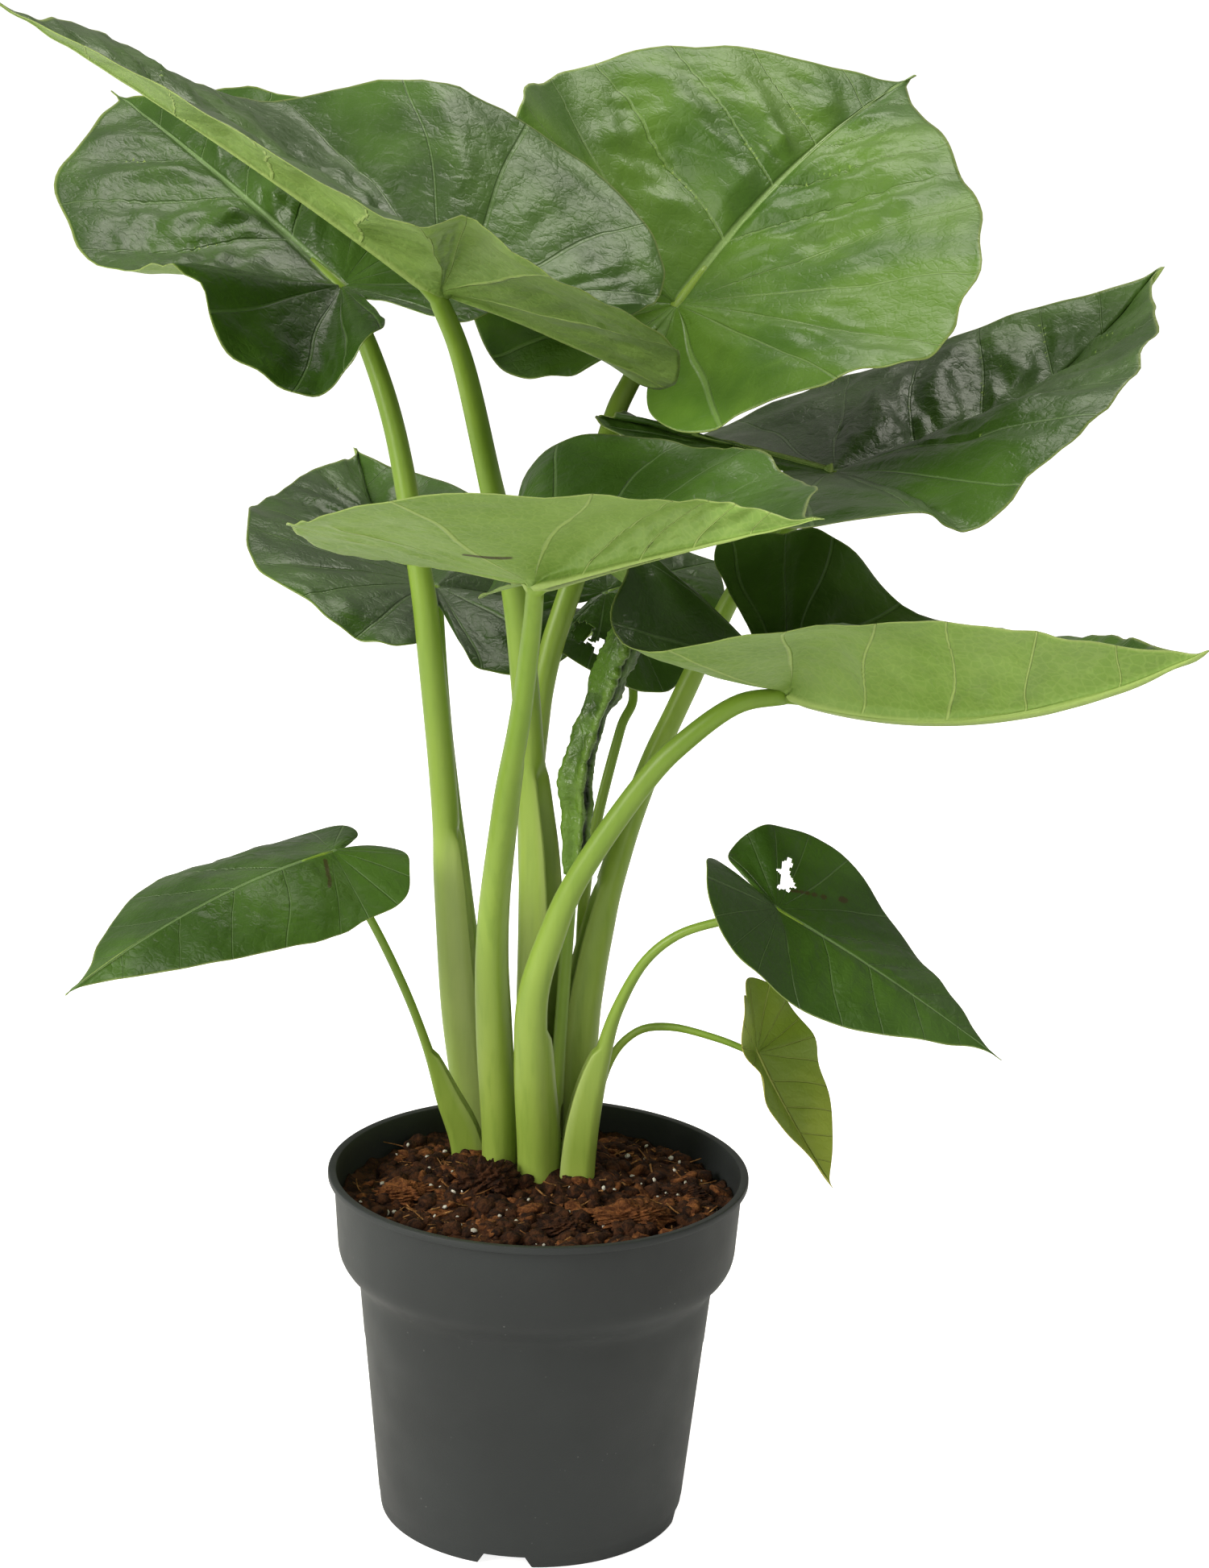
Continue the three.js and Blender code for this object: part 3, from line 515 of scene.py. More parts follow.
def blade_relief(leaf, number, u, v, q, phase):
    """How far the skin stands off the smooth sheet: pleated between laterals, calm at petiole and edge."""
    grain = leaf["grain"]
    size = grain["rib"] / LARGE["rib"]
    seed = number * 10
    calm = size * np.where(phase < 0, CALM["lobes"], CALM["front"])
    fade = np.clip(np.hypot(u, v) / calm, 0, 1) ** 1.6 * (1 - q**6)
    fade *= np.where(u > RIB_START, np.clip(np.abs(v) / (CALM["rib"] * size), 0, 1) ** 1.2, 1)
    fade *= np.where(phase < 0, CALM["lobe_share"], 1)
    between = np.abs(np.sin(math.pi * phase))
    pillow = between**0.5
    cross = waves(u + 25 * phase, v, seed + 3, CROSS_SIZE[0] * size + CROSS_SIZE[1]) * between
    pucker = waves(u + 60 * phase, v, seed + 4, PUCKER_SIZE[0] * size + PUCKER_SIZE[1])
    pucker = pucker * between**0.5 * (1 - between**3)
    crumple = waves(u, v, seed + 5, CRUMPLE_SIZE[0] * size + CRUMPLE_SIZE[1])
    drift = waves(u, v, seed + 6, DRIFT_SIZE)
    ridges = np.sin(4 * math.pi * phase + 2 * drift) * np.clip(0.6 + drift, 0, 1.4)
    relief = RELIEF["pillow"] * (pillow - RELIEF["level"]) + RELIEF["cross"] * cross
    relief = relief + RELIEF["pucker"] * pucker + RELIEF["crumple"] * crumple + RELIEF["ridges"] * ridges
    return relief * (grain["pleat"] * fade)


def closed_sheet(faces, count):
    """The faces of an upper and a lower sheet of count points each, joined along every open edge."""
    solid = list(faces) + [tuple(count + i for i in reversed(f)) for f in faces]
    edges = {}
    for f in faces:
        for s, t in zip(f, f[1:] + f[:1]):
            if edges.pop((t, s), None) is None:
                edges[(s, t)] = True
    return solid + [(t, s, count + s, count + t) for s, t in edges]


def blade(leaf, number, material):
    grain = leaf["grain"]
    points, data, around = blade_sheet(leaf)
    faces = sheet_faces(leaf, data, around)
    normals = vertex_normals(points, faces)
    u, v, _, q = data.T
    size = grain["rib"] / LARGE["rib"]
    phase, ratio = veins(leaf, u, v, number * 10)
    to_tip = np.clip(1 - u / leaf["tip"], 0, 1)
    rib_half = size * (RIB_HALF_WIDTH["tip"] + RIB_HALF_WIDTH["foot"] * to_tip**1.1)
    rib = np.where(u > RIB_START, np.abs(v) / rib_half, OFF_RIB)
    from_petiole = np.hypot(u, v)
    relief = blade_relief(leaf, number, u, v, q, phase)
    frill = FRILL_HEIGHT * size * q**6 * waves(u, v, number * 10 + 7, FRILL_SIZE)
    groove = RIB_GROOVE * size * np.exp(-((rib / 1.1) ** 2)) * np.minimum(from_petiole / GROOVE_FADE, 1)
    middle = points + normals * (relief + frill - groove)[:, None]
    thickness = BLADE_THICKNESS + (MARGIN_THICKNESS - BLADE_THICKNESS) * q**8
    rib_depth = grain["rib"] * to_tip**1.2 * np.exp(-((rib / 1.3) ** 2))
    costa = COSTA_DEPTH * grain["rib"] * np.clip(1 - from_petiole / (1.1 * leaf["lobe"]), 0, 1)
    costa = np.where(u < 0, costa * np.exp(-((np.abs(phase + 4) * ratio / 1.6) ** 2)), 0)
    upper = middle + normals * (thickness / 2)[:, None]
    lower = middle - normals * (thickness / 2 + np.maximum(rib_depth, costa))[:, None]
    count = len(points)
    solid = closed_sheet(faces, count)
    used = np.zeros(2 * count, bool)
    used[[i for f in solid for i in f]] = True
    new = np.cumsum(used) - 1
    solid = [tuple(int(new[i]) for i in f) for f in solid]
    scars = scar_mask(leaf, u, v)
    attributes = {"vein_phase": phase, "vein_ratio": ratio, "rib": rib, "margin": q, "scar": scars}
    attributes = {key: np.tile(values, 2)[used] for key, values in attributes.items()}
    attributes["under"] = np.repeat([0.0, 1.0], count)[used]
    return make_piece(
        f"leaf_{leaf['name']}", np.vstack([upper, lower])[used], solid, f"blade_{leaf['name']}",
        material, attributes=attributes, flat=np.vstack([data[:, :2]] * 2)[used],
    )


# Petioles

def petiole(name, line, girth, sheath, node, material, merge=None, shade=GROOVE_SHADE, pale=RIM_WIDTH):
    """A stalk with a winged foot. merge gives points that run on under the midrib, with their half widths."""
    length = np.linalg.norm(np.diff(np.asarray(line, float), axis=0), axis=1).sum()
    rings = max(12, round(length / PETIOLE_STEP))
    t = np.linspace(0, 1, rings)
    centre = along(line, t)
    width = along(girth, t)[:, 0]
    opens, apex, wing = sheath
    height = (centre[:, 2] - line[0][2]) / (apex - line[0][2])
    opened = np.maximum(1 - height**2, 0) ** SHEATH_FADE
    if merge:
        points, widths = merge
        centre = np.vstack([centre, points])
        width = np.append(width, widths)
        opened = np.append(opened, np.zeros(len(widths)))
        t = np.append(t, np.ones(len(widths)))
    tangent = np.gradient(centre, axis=0)
    tangent /= np.linalg.norm(tangent, axis=1, keepdims=True)
    opening = np.array([math.cos(math.radians(opens)), math.sin(math.radians(opens)), 0])
    front = opening - (tangent @ opening)[:, None] * tangent
    front /= np.linalg.norm(front, axis=1, keepdims=True)
    across = np.cross(tangent, front)
    angle = np.linspace(0, 2 * math.pi, PETIOLE_SIDES, endpoint=False)
    depth = np.sin(angle)
    wings = np.where(depth > 0, wing * depth - (wing + SHEATH_GROOVE) * depth**3, 0)
    bulge = depth + wings * opened[:, None]
    swell = 1 + PETIOLE_SWELL * waves(angle[None, :] * 9, t[:, None] * length, len(name), 40)
    side = (width[:, None] * np.cos(angle) * swell)[..., None] * across[:, None]
    face = (width[:, None] * PETIOLE_FLATNESS * bulge * swell)[..., None] * front[:, None]
    skin = centre[:, None] + side + face
    points = np.vstack([centre[:1], skin.reshape(-1, 3), centre[-1:]])
    crest = math.sqrt((1 + wing) / 3 / (wing + SHEATH_GROOVE))
    # The pale rim along the wing crests: the wings' own paler edge and, where pale is wide, painted light
    # shining through the thin wings.
    pale_rim_and_glow = opened[:, None] * np.exp(-(((depth - crest) / pale) ** 2))
    # Painted shade: the groove darkens by shade, and by how far the wings stand open.
    groove = shade * opened[:, None] * np.clip((depth - crest) / (1 - crest), 0, 1)
    attributes = {
        "height": with_ends(np.repeat(t, PETIOLE_SIDES), last=1), "wing": with_ends(pale_rim_and_glow),
        "groove": with_ends(groove),
    }
    faces = ring_faces(len(centre), PETIOLE_SIDES)
    return make_piece(name, points, faces, node, material, attributes=attributes)


def midrib_run(leaf):
    """Points under the blade's midrib, where the petiole runs on into it."""
    points, data, around = blade_sheet(leaf)
    rings = leaf["grain"]["rings"]
    normal = vertex_normals(points, sheet_faces({**leaf, "holes": ()}, data, around))
    rows = [1 + i * around for i in range(1, max(4, rings // MERGE["share"]))]
    depth = np.linspace(*MERGE["depth"], len(rows)) * leaf["grain"]["rib"]
    under = points[rows] - normal[rows] * depth[:, None]
    last = leaf["girth"][-1]
    widths = np.linspace(last * MERGE["first_width"], MERGE["last_width"] * leaf["grain"]["rib"], len(rows))
    start = points[0] - normal[0] * last * MERGE["start"]
    return start, (under, widths)


# Rolled leaf

def rolled_leaf(material):
    t = np.linspace(0, 1, ROLL_RINGS)
    centre = along(ROLL_LINE, t)
    radius = along(ROLL_RADII, t)
    angle = np.linspace(0, 2 * math.pi, ROLL_SIDES, endpoint=False)
    tangent = np.gradient(centre, axis=0)
    tangent /= np.linalg.norm(tangent, axis=1, keepdims=True)
    front = np.array([0.0, -1.0, 0.0])
    across = np.cross(front, tangent)
    across /= np.linalg.norm(across, axis=1, keepdims=True)
    crinkle = ROLL_CRINKLE * np.sin(3 * angle + 5 * t[:, None])
    height = t[:, None] * ROLL_LENGTH
    folds = ROLL_FOLD * waves(height, 6 * np.cos(angle) + 4 * np.sin(angle), 41, 16)
    folds += ROLL_FINE_FOLD * waves(height, 9 * np.cos(angle - 1), 43, 6)
    lap = ROLL_LAP["height"] * np.exp(-(((angle - ROLL_LAP["angle"]) / ROLL_LAP["spread"]) ** 2))
    lap = lap * (1 + 0.8 * waves(height, 0 * angle, 45, 8))
    # The seam is a dent down the roll, and its mask also paints shadow into the dent.
    seam = np.exp(-(((angle - ROLL_SEAM["angle"]) / ROLL_SEAM["spread"]) ** 2))
    seam = seam * (1 + 0.4 * waves(height, 0 * angle, 46, 10))
    r = ROLL_FULLNESS * radius * (1 + crinkle + folds + lap - ROLL_SEAM["depth"] * seam)
    skin = centre[:, None] + r[..., None] * (
        np.cos(angle)[None, :, None] * across[:, None] + np.sin(angle)[None, :, None] * front
    )
    points = np.vstack([centre[:1], skin.reshape(-1, 3), centre[-1:]])
    # The first attribute is how far the folds and the lap stand out, for painted light on the raised parts.
    attributes = {
        "fold_highlight": with_ends((folds + lap) * 3), "height": with_ends(np.repeat(t, ROLL_SIDES), last=1),
        "seam": with_ends(seam),
    }
    faces = ring_faces(ROLL_RINGS, ROLL_SIDES)
    return make_piece("leaf_rolled", points, faces, "rolled_leaf", material, attributes)


# Pot

def turned(profile, segments):
    """Points and faces of a closed profile turned about +Z. It starts and ends on the axis."""
    angle = np.linspace(0, 2 * math.pi, segments, endpoint=False)
    inner = np.array(profile[1:-1], float)
    ring = np.stack([
        inner[:, :1] * np.cos(angle), inner[:, :1] * np.sin(angle), inner[:, 1:] + 0 * angle,
    ], -1)
    ends = np.array([(0, 0, profile[0][1]), (0, 0, profile[-1][1])], float)
    return np.vstack([ends[:1], ring.reshape(-1, 3), ends[1:]]), ring_faces(len(inner), segments)


def cutter(name, points, faces):
    mesh = bpy.data.meshes.new(name)
    mesh.from_pydata(metres(points).tolist(), [], faces)
    return put(name, mesh)


def pot(material):
    points, faces = turned([*POT_OUTSIDE, *POT_LIP, *POT_INSIDE], POT_SEGMENTS)
    piece = make_piece("nursery_pot", points, faces, "pot", material)
    tools = []
    for i in range(NOTCH["count"]):
        turn = math.radians(NOTCH["first_angle"] + i * 360 / NOTCH["count"])
        section = [(-NOTCH["width"] / 2, NOTCH["below"]), (NOTCH["width"] / 2, NOTCH["below"])]
        section += [(NOTCH["top_width"] / 2, NOTCH["height"]), (-NOTCH["top_width"] / 2, NOTCH["height"])]
        block = []
        outer = FOOT_RADIUS + NOTCH["past"]
        for r in (outer - NOTCH["reach"], outer):
            for w, z in section:
                x = r * math.cos(turn) - w * math.sin(turn)
                y = r * math.sin(turn) + w * math.cos(turn)
                block.append((x, y, z))
        tools.append(cutter("notch", block, BLOCK_SIDES))
    for i in range(DRAIN["count"]):
        turn = 2 * math.pi * i / DRAIN["count"]
        bottom, top = DRAIN["bottom"], DRAIN["top"]
        profile = [(0, bottom), (DRAIN["radius"], bottom), (DRAIN["radius"], top), (0, top)]
        points, faces = turned(profile, DRAIN["segments"])
        offset = (DRAIN["circle"] * math.cos(turn), DRAIN["circle"] * math.sin(turn), 0)
        tools.append(cutter("drain", points + offset, faces))
    for tool in tools:
        cut = piece.modifiers.new("cut", "BOOLEAN")
        cut.operation = "DIFFERENCE"
        cut.solver = "EXACT"
        cut.object = tool
    graph = bpy.context.evaluated_depsgraph_get()
    result = bpy.data.meshes.new_from_object(piece.evaluated_get(graph))
    piece.modifiers.clear()
    piece.data = result
    result.polygons.foreach_set("use_smooth", [True] * len(result.polygons))
    result.set_sharp_from_angle(angle=SHARP_EDGE)
    for tool in tools:
        bpy.data.objects.remove(tool)
    return piece


# Soil

def soil_height(x, y):
    d = np.hypot(x - SOIL_MOUND["x"], y - SOIL_MOUND["y"]) / SOIL_MOUND["spread"]
    return SOIL_EDGE_Z + SOIL_MOUND["height"] * np.exp(-d * d)


def soil_relief(x, y):
    return sum(height * waves(x, y, seed, size) for height, seed, size in SOIL_RELIEF)


def soil(material):
    angle = np.linspace(0, 2 * math.pi, SOIL_SIDES, endpoint=False)
    radius = np.linspace(0, SOIL_EDGE_RADIUS, SOIL_RINGS + 1)[1:, None]
    x, y = radius * np.cos(angle), radius * np.sin(angle)
    top = np.stack([x, y, soil_height(x, y) + soil_relief(x, y)], -1)
    wall = []
    for r, z in POT_INSIDE[1:-1]:
        x, y = (r - CLEARANCE) * np.cos(angle), (r - CLEARANCE) * np.sin(angle)
        wall.append(np.stack([x, y, z + CLEARANCE + 0 * angle], -1))
    centre = (0, 0, float(soil_height(0, 0) + soil_relief(np.zeros(1), np.zeros(1))[0]))
    rings = np.vstack([top.reshape(-1, 3), np.array(wall).reshape(-1, 3)])
    points = np.vstack([[centre], rings, [(0, 0, WALL + CLEARANCE)]])
    faces = [tuple(reversed(f)) for f in ring_faces(SOIL_RINGS + len(wall), SOIL_SIDES)]
    return make_piece("soil_bed", points, faces, "soil", material)


def seed_bed(lift):
    """The open soil between the stems, lifted by so many millimetres, to strew grains and fibres over."""
    stems = [(leaf["stem"][0][:2], leaf["girth"][0]) for leaf in LEAVES]
    bed = bmesh.new()
    step = BED["step"]
    span = np.arange(-BED["half"], BED["half"] + 1, step)
    for x in span:
        for y in span:
            if math.hypot(x, y) > BED["radius"]:
                continue
            if any(math.hypot(x - sx, y - sy) < g + BED["round_stem"] for (sx, sy), g in stems):
                continue
            corners = []
            for cx, cy in ((x, y), (x + step, y), (x + step, y + step), (x, y + step)):
                cz = soil_height(cx, cy) + soil_relief(np.array([cx]), np.array([cy]))[0] + lift
                corners.append(bed.verts.new(Vector((cx, cy, cz)) * MM))
            bed.faces.new(corners)
    mesh = bpy.data.meshes.new("seed_bed")
    bed.to_mesh(mesh)
    bed.free()
    return put("seed_bed", mesh)


def lump(name, seed, stretch, detail=2):
    """A lumpy grain one unit across."""
    grain = bmesh.new()
    bmesh.ops.create_icosphere(grain, subdivisions=detail, radius=0.5)
    for vert in grain.verts:
        x, y, z = vert.co * 4
        bump = waves(np.array([x + z]), np.array([y - z]), seed, GRAIN_RELIEF_SIZE)
        push = 1 + GRAIN_RELIEF * float(bump[0])
        vert.co = Vector((vert.co.x * stretch[0], vert.co.y * stretch[1], vert.co.z * stretch[2])) * push
    mesh = bpy.data.meshes.new(name)
    grain.to_mesh(mesh)
    grain.free()
    return put(name, mesh)


def clump(name, place, size, seed, material):
    """A rough clump lying in the soil, with its centre and its size in millimetres."""
    ball = bmesh.new()
    bmesh.ops.create_icosphere(ball, subdivisions=6, radius=0.5)
    points = np.array([vert.co for vert in ball.verts])
    faces = [tuple(vert.index for vert in face.verts) for face in ball.faces]
    ball.free()
    x, y, z = points.T
    rough = np.zeros(len(points))
    for step, (height, width, lean_x, lean_y) in enumerate(CLUMP_RELIEF):
        rough += height * waves(x + lean_x * z, y + lean_y * z, seed + step, width)
    points = points * (1 + rough)[:, None] * size + place
    return make_piece(name, points, faces, None, material)


def fibre(name, seed, sides=4, rings=8):
    """A bent thread one unit long."""
    rng = np.random.default_rng(seed)
    knots = np.cumsum(rng.normal((0.25, 0, 0), (0.05, 0.13, 0.06), (4, 3)), axis=0)
    line = along(knots, np.linspace(0, 1, rings))
    line -= line.mean(0)
    angle = np.linspace(0, 2 * math.pi, sides, endpoint=False)
    across = np.stack([0 * angle, np.cos(angle), np.sin(angle)], -1) * FIBRE_RADIUS
    skin = line[:, None] + across * np.linspace(1, 0.5, rings)[:, None, None]
    points = np.vstack([line[:1], skin.reshape(-1, 3), line[-1:]])
    mesh = bpy.data.meshes.new(name)
    mesh.from_pydata(points.tolist(), [], ring_faces(rings, sides))
    return put(name, mesh)


def scatter_tree():
    """Geometry nodes that strew copies of one grain over a bed, turned and sized at random."""
    tree = bpy.data.node_groups.new("strew", "GeometryNodeTree")
    sockets = (
        ("Bed", "NodeSocketGeometry"), ("Grain", "NodeSocketObject"), ("Density", "NodeSocketFloat"),
        ("Seed", "NodeSocketInt"), ("Smallest", "NodeSocketFloat"), ("Largest", "NodeSocketFloat"),
        ("Tilt", "NodeSocketFloat"), ("Finish", "NodeSocketMaterial"),
    )
    for name, kind in sockets:
        tree.interface.new_socket(name, in_out="INPUT", socket_type=kind)
    tree.interface.new_socket("Strewn", in_out="OUTPUT", socket_type="NodeSocketGeometry")
    w = Wiring(tree)
    given = w.add("NodeGroupInput").outputs
    seed = given["Seed"]
    spots = {"Mesh": given["Bed"], "Density": given["Density"], "Seed": seed}
    spots = w.add("GeometryNodeDistributePointsOnFaces", spots).outputs["Points"]
    grain = w.add("GeometryNodeObjectInfo", {"Object": given["Grain"]}).outputs["Geometry"]
    size = {2: given["Smallest"], 3: given["Largest"], "Seed": seed}
    size = w.add("FunctionNodeRandomValue", size).outputs[1]
    most = {"X": given["Tilt"], "Y": given["Tilt"], "Z": 2 * math.pi}
    most = w.add("ShaderNodeCombineXYZ", most).outputs[0]
    least = w.add("ShaderNodeVectorMath", {0: most, "Scale": -1}, operation="SCALE").outputs[0]
    turn = {0: least, 1: most, "Seed": seed}
    turn = w.add("FunctionNodeRandomValue", turn, data_type="FLOAT_VECTOR").outputs[0]
    copies = {"Points": spots, "Instance": grain, "Scale": size, "Rotation": turn}
    copies = w.add("GeometryNodeInstanceOnPoints", copies).outputs["Instances"]
    real = w.add("GeometryNodeRealizeInstances", {"Geometry": copies}).outputs["Geometry"]
    paint = w.add("GeometryNodeSetMaterial", {"Geometry": real, "Material": given["Finish"]})
    w.add("NodeGroupOutput", {"Strewn": paint.outputs["Geometry"]})
    return tree


def strew(name, tree, bed, grain, material):
    """Copies of a grain over a bed, by the figures in STREWN. The result is a plain mesh of its own."""
    figures = STREWN[name]
    host = put(name, bed.data)
    modifier = host.modifiers.new("strew", "NODES")
    modifier.node_group = tree
    values = {
        "Grain": grain, "Density": float(figures["per_square_metre"]), "Seed": figures["seed"],
        "Smallest": figures["smallest"] * MM, "Largest": figures["largest"] * MM, "Tilt": figures["tilt"],
        "Finish": material,
    }
    for item in tree.interface.items_tree:
        if item.in_out == "INPUT" and item.name in values:
            modifier[item.identifier] = values[item.name]
    graph = bpy.context.evaluated_depsgraph_get()
    result = bpy.data.meshes.new_from_object(host.evaluated_get(graph))
    host.modifiers.clear()
    host.data = result
    result.polygons.foreach_set("use_smooth", [True] * len(result.polygons))
    return declare(host, None)


# Materials

def rgb(code):
    """A linear colour from its hex code."""
    parts = [int(code[i:i + 2], 16) / 255 for i in (0, 2, 4)]
    return tuple(c / 12.92 if c < 0.04045 else ((c + 0.055) / 1.055) ** 2.4 for c in parts) + (1,)


class Wiring:
    """Adds nodes to a tree and wires their inputs, each a socket or a plain value."""

    def __init__(self, tree):
        self.tree = tree

    def add(self, kind, inputs=None, **settings):
        node = self.tree.nodes.new(kind)
        for key, value in settings.items():
            setattr(node, key, value)
        self.wire(node, inputs or {})
        return node

    def wire(self, node, inputs):
        for key, value in inputs.items():
            if isinstance(value, bpy.types.NodeSocket):
                self.tree.links.new(value, node.inputs[key])
            else:
                node.inputs[key].default_value = value

    def math(self, operation, a, b=0.0):
        return self.add("ShaderNodeMath", {0: a, 1: b}, operation=operation).outputs[0]

    def span(self, value, low, high, start=0.0, end=1.0):
        inputs = {"Value": value, "From Min": low, "From Max": high, "To Min": start, "To Max": end}
        return self.add("ShaderNodeMapRange", inputs, interpolation_type="SMOOTHSTEP").outputs[0]

    def mix(self, factor, a, b):
        node = self.add("ShaderNodeMix", {0: factor, 6: a, 7: b}, data_type="RGBA")
        return node.outputs[2]

    def attribute(self, name):
        return self.add("ShaderNodeAttribute", attribute_name=name).outputs["Fac"]

    def noise(self, vector, scale, detail=3.0, distortion=0.0):
        inputs = {"Vector": vector, "Scale": scale, "Detail": detail, "Distortion": distortion}
        return self.add("ShaderNodeTexNoise", inputs).outputs["Fac"]

    def place(self):
        return self.add("ShaderNodeTexCoord").outputs["Object"]

    def bump(self, height, distance, strength=1.0):
        inputs = {"Height": height, "Distance": distance, "Strength": strength}
        return self.add("ShaderNodeBump", inputs).outputs[0]


def new_material(name, **values):
    material = bpy.data.materials.new(name)
    material.use_nodes = True
    shader = material.node_tree.nodes["Principled BSDF"]
    for key, value in values.items():
        shader.inputs[key.replace("_", " ")].default_value = value
    return material, shader, Wiring(material.node_tree)


def shader_group(name, inputs, outputs):
    tree = bpy.data.node_groups.new(name, "ShaderNodeTree")
    for label in inputs:
        kind = "NodeSocketVector" if label == "Place" else "NodeSocketFloat"
        tree.interface.new_socket(label, in_out="INPUT", socket_type=kind)
    for label in outputs:
        tree.interface.new_socket(label, in_out="OUTPUT", socket_type="NodeSocketFloat")
    given = tree.nodes.new("NodeGroupInput").outputs
    result = tree.nodes.new("NodeGroupOutput")
    return tree, Wiring(tree), given, result


def vein_group():
    """Masks for the veins: thin lines where the phase is a whole number, and the midrib."""
    tree, w, given, result = shader_group("vein_lines", ("Phase", "Ratio", "Rib"), ("Lines", "Midrib"))
    share = w.math("FRACT", w.math("ADD", given["Phase"], 40.5))
    off = w.math("ABSOLUTE", w.math("SUBTRACT", share, 0.5))
    lines = w.span(w.math("MULTIPLY", off, given["Ratio"]), 0.35, 1.25, 1.0, 0.0)
    midrib = w.span(given["Rib"], 0.55, 1.15, 1.0, 0.0)
    w.wire(result, {"Lines": lines, "Midrib": midrib})
    return tree


def skin_group():
    """Masks for a leaf's skin: broad mottling, fine crinkles and the net of smallest veins."""
    labels = ("Mottle", "Crinkle", "Pucker", "Net")
    tree, w, given, result = shader_group("leaf_skin", ("Place", "Size"), labels)
    place, size = given["Place"], given["Size"]
    mottle = w.noise(place, w.math("MULTIPLY", size, 14), 4.0, 0.4)
    crinkle = w.noise(place, w.math("MULTIPLY", size, 120), 3.0, 0.8)
    pucker = w.noise(place, w.math("MULTIPLY", size, 46), 2.0, 1.2)
    inputs = {"Vector": place, "Scale": w.math("MULTIPLY", size, 210)}
    cells = w.add("ShaderNodeTexVoronoi", inputs, feature="DISTANCE_TO_EDGE")
    net = w.span(cells.outputs["Distance"], 0.0, 0.16, 1.0, 0.0)
    w.wire(result, dict(zip(labels, (mottle, crinkle, pucker, net))))
    return tree


VEIN_GROUP = vein_group()
SKIN_GROUP = skin_group()


def leaf_material(finish):
    """Its colours are the upper dark and light, upper veins, under dark and light, under veins and margin."""
    colours = (rgb(code) for code in LEAF_COLOURS[finish])
    deep, light, vein, under_deep, under_light, under_vein, margin = colours
    gloss, relief = LEAF_GLOSS[finish], LEAF_RELIEF[finish]
    material, shader, w = new_material(f"leaf_{finish}", Roughness=gloss, Specular_IOR_Level=0.32)
    shader.inputs["Coat Roughness"].default_value = 0.3
    lines = w.add("ShaderNodeGroup", node_tree=VEIN_GROUP)
    w.wire(lines, {
        "Phase": w.attribute("vein_phase"), "Ratio": w.attribute("vein_ratio"), "Rib": w.attribute("rib"),
    })
    skin = w.add("ShaderNodeGroup", node_tree=SKIN_GROUP)
    w.wire(skin, {"Place": w.place(), "Size": 1.0})
    mottle = w.span(skin.outputs["Mottle"], 0.36, 0.66)
    lateral, midrib = lines.outputs["Lines"], lines.outputs["Midrib"]
    below = w.span(w.attribute("under"), 0.35, 0.65)
    upper = w.mix(mottle, deep, light)
    upper = w.mix(w.math("MULTIPLY", lateral, 0.28), upper, vein)
    upper = w.mix(w.math("MULTIPLY", midrib, 0.7), upper, vein)
    lower = w.mix(mottle, under_deep, under_light)
    lower = w.mix(w.math("MULTIPLY", skin.outputs["Net"], 0.16), lower, under_vein)
    lower = w.mix(w.math("MULTIPLY", w.math("MAXIMUM", lateral, midrib), 0.6), lower, under_vein)
    colour = w.mix(below, upper, lower)
    colour = w.mix(w.span(w.attribute("margin"), 0.988, 0.999, 0.0, 0.6), colour, margin)
    colour = w.mix(w.span(w.attribute("scar"), 0.3, 0.6, 0.0, 0.9), colour, rgb(SCAR_COLOUR))
    rough = w.math("ADD", w.math("MULTIPLY", skin.outputs["Crinkle"], 0.2), gloss - 0.1)
    rough = w.math("ADD", rough, w.math("MULTIPLY", below, 0.16))
    coat = w.math("MULTIPLY", w.math("SUBTRACT", 1.0, below), 0.07)
    up = w.math("SUBTRACT", w.math("MULTIPLY", below, 2.0), 1.0)
    height = w.math("MULTIPLY", w.math("MULTIPLY", w.math("MAXIMUM", lateral, midrib), up), 0.5)
    height = w.math("ADD", height, w.math("MULTIPLY", skin.outputs["Crinkle"], relief))
    height = w.math("ADD", height, w.math("MULTIPLY", skin.outputs["Pucker"], relief))
    height = w.math("ADD", height, w.math("MULTIPLY", skin.outputs["Net"], -0.05))
    normal = w.bump(height, 0.0012)
    w.wire(shader, {"Base Color": colour, "Roughness": rough, "Coat Weight": coat, "Normal": normal})
    return material


def petiole_material():
    material, shader, w = new_material("petiole_skin", Roughness=0.4, Specular_IOR_Level=0.4)
    place = w.place()
    stretched = w.add("ShaderNodeMapping", {"Vector": place, "Scale": (1.0, 1.0, 0.12)}).outputs[0]
    streak = w.noise(stretched, 260.0, 3.0)
    patch = w.noise(place, 18.0, 3.0)
    paint = {key: rgb(code) for key, code in PETIOLE_COLOURS.items()}
    base = w.mix(w.span(w.attribute("height"), 0.0, 0.75), paint["foot"], paint["top"])
    base = w.mix(w.span(patch, 0.35, 0.7, 0.0, 0.6), base, paint["patch"])
    base = w.mix(w.span(streak, 0.45, 0.75, 0.0, 0.28), base, paint["streak"])
    # Painted shade inside the sheath groove.
    base = w.mix(w.math("MULTIPLY", w.attribute("groove"), 0.8), base, paint["groove"])
    # The pale rim on the wings, partly painted light shining through them.
    base = w.mix(w.math("MULTIPLY", w.attribute("wing"), 0.6), base, paint["pale_rim_and_glow"])
    w.wire(shader, {"Base Color": base, "Normal": w.bump(streak, 0.0003, 0.5)})
    return material


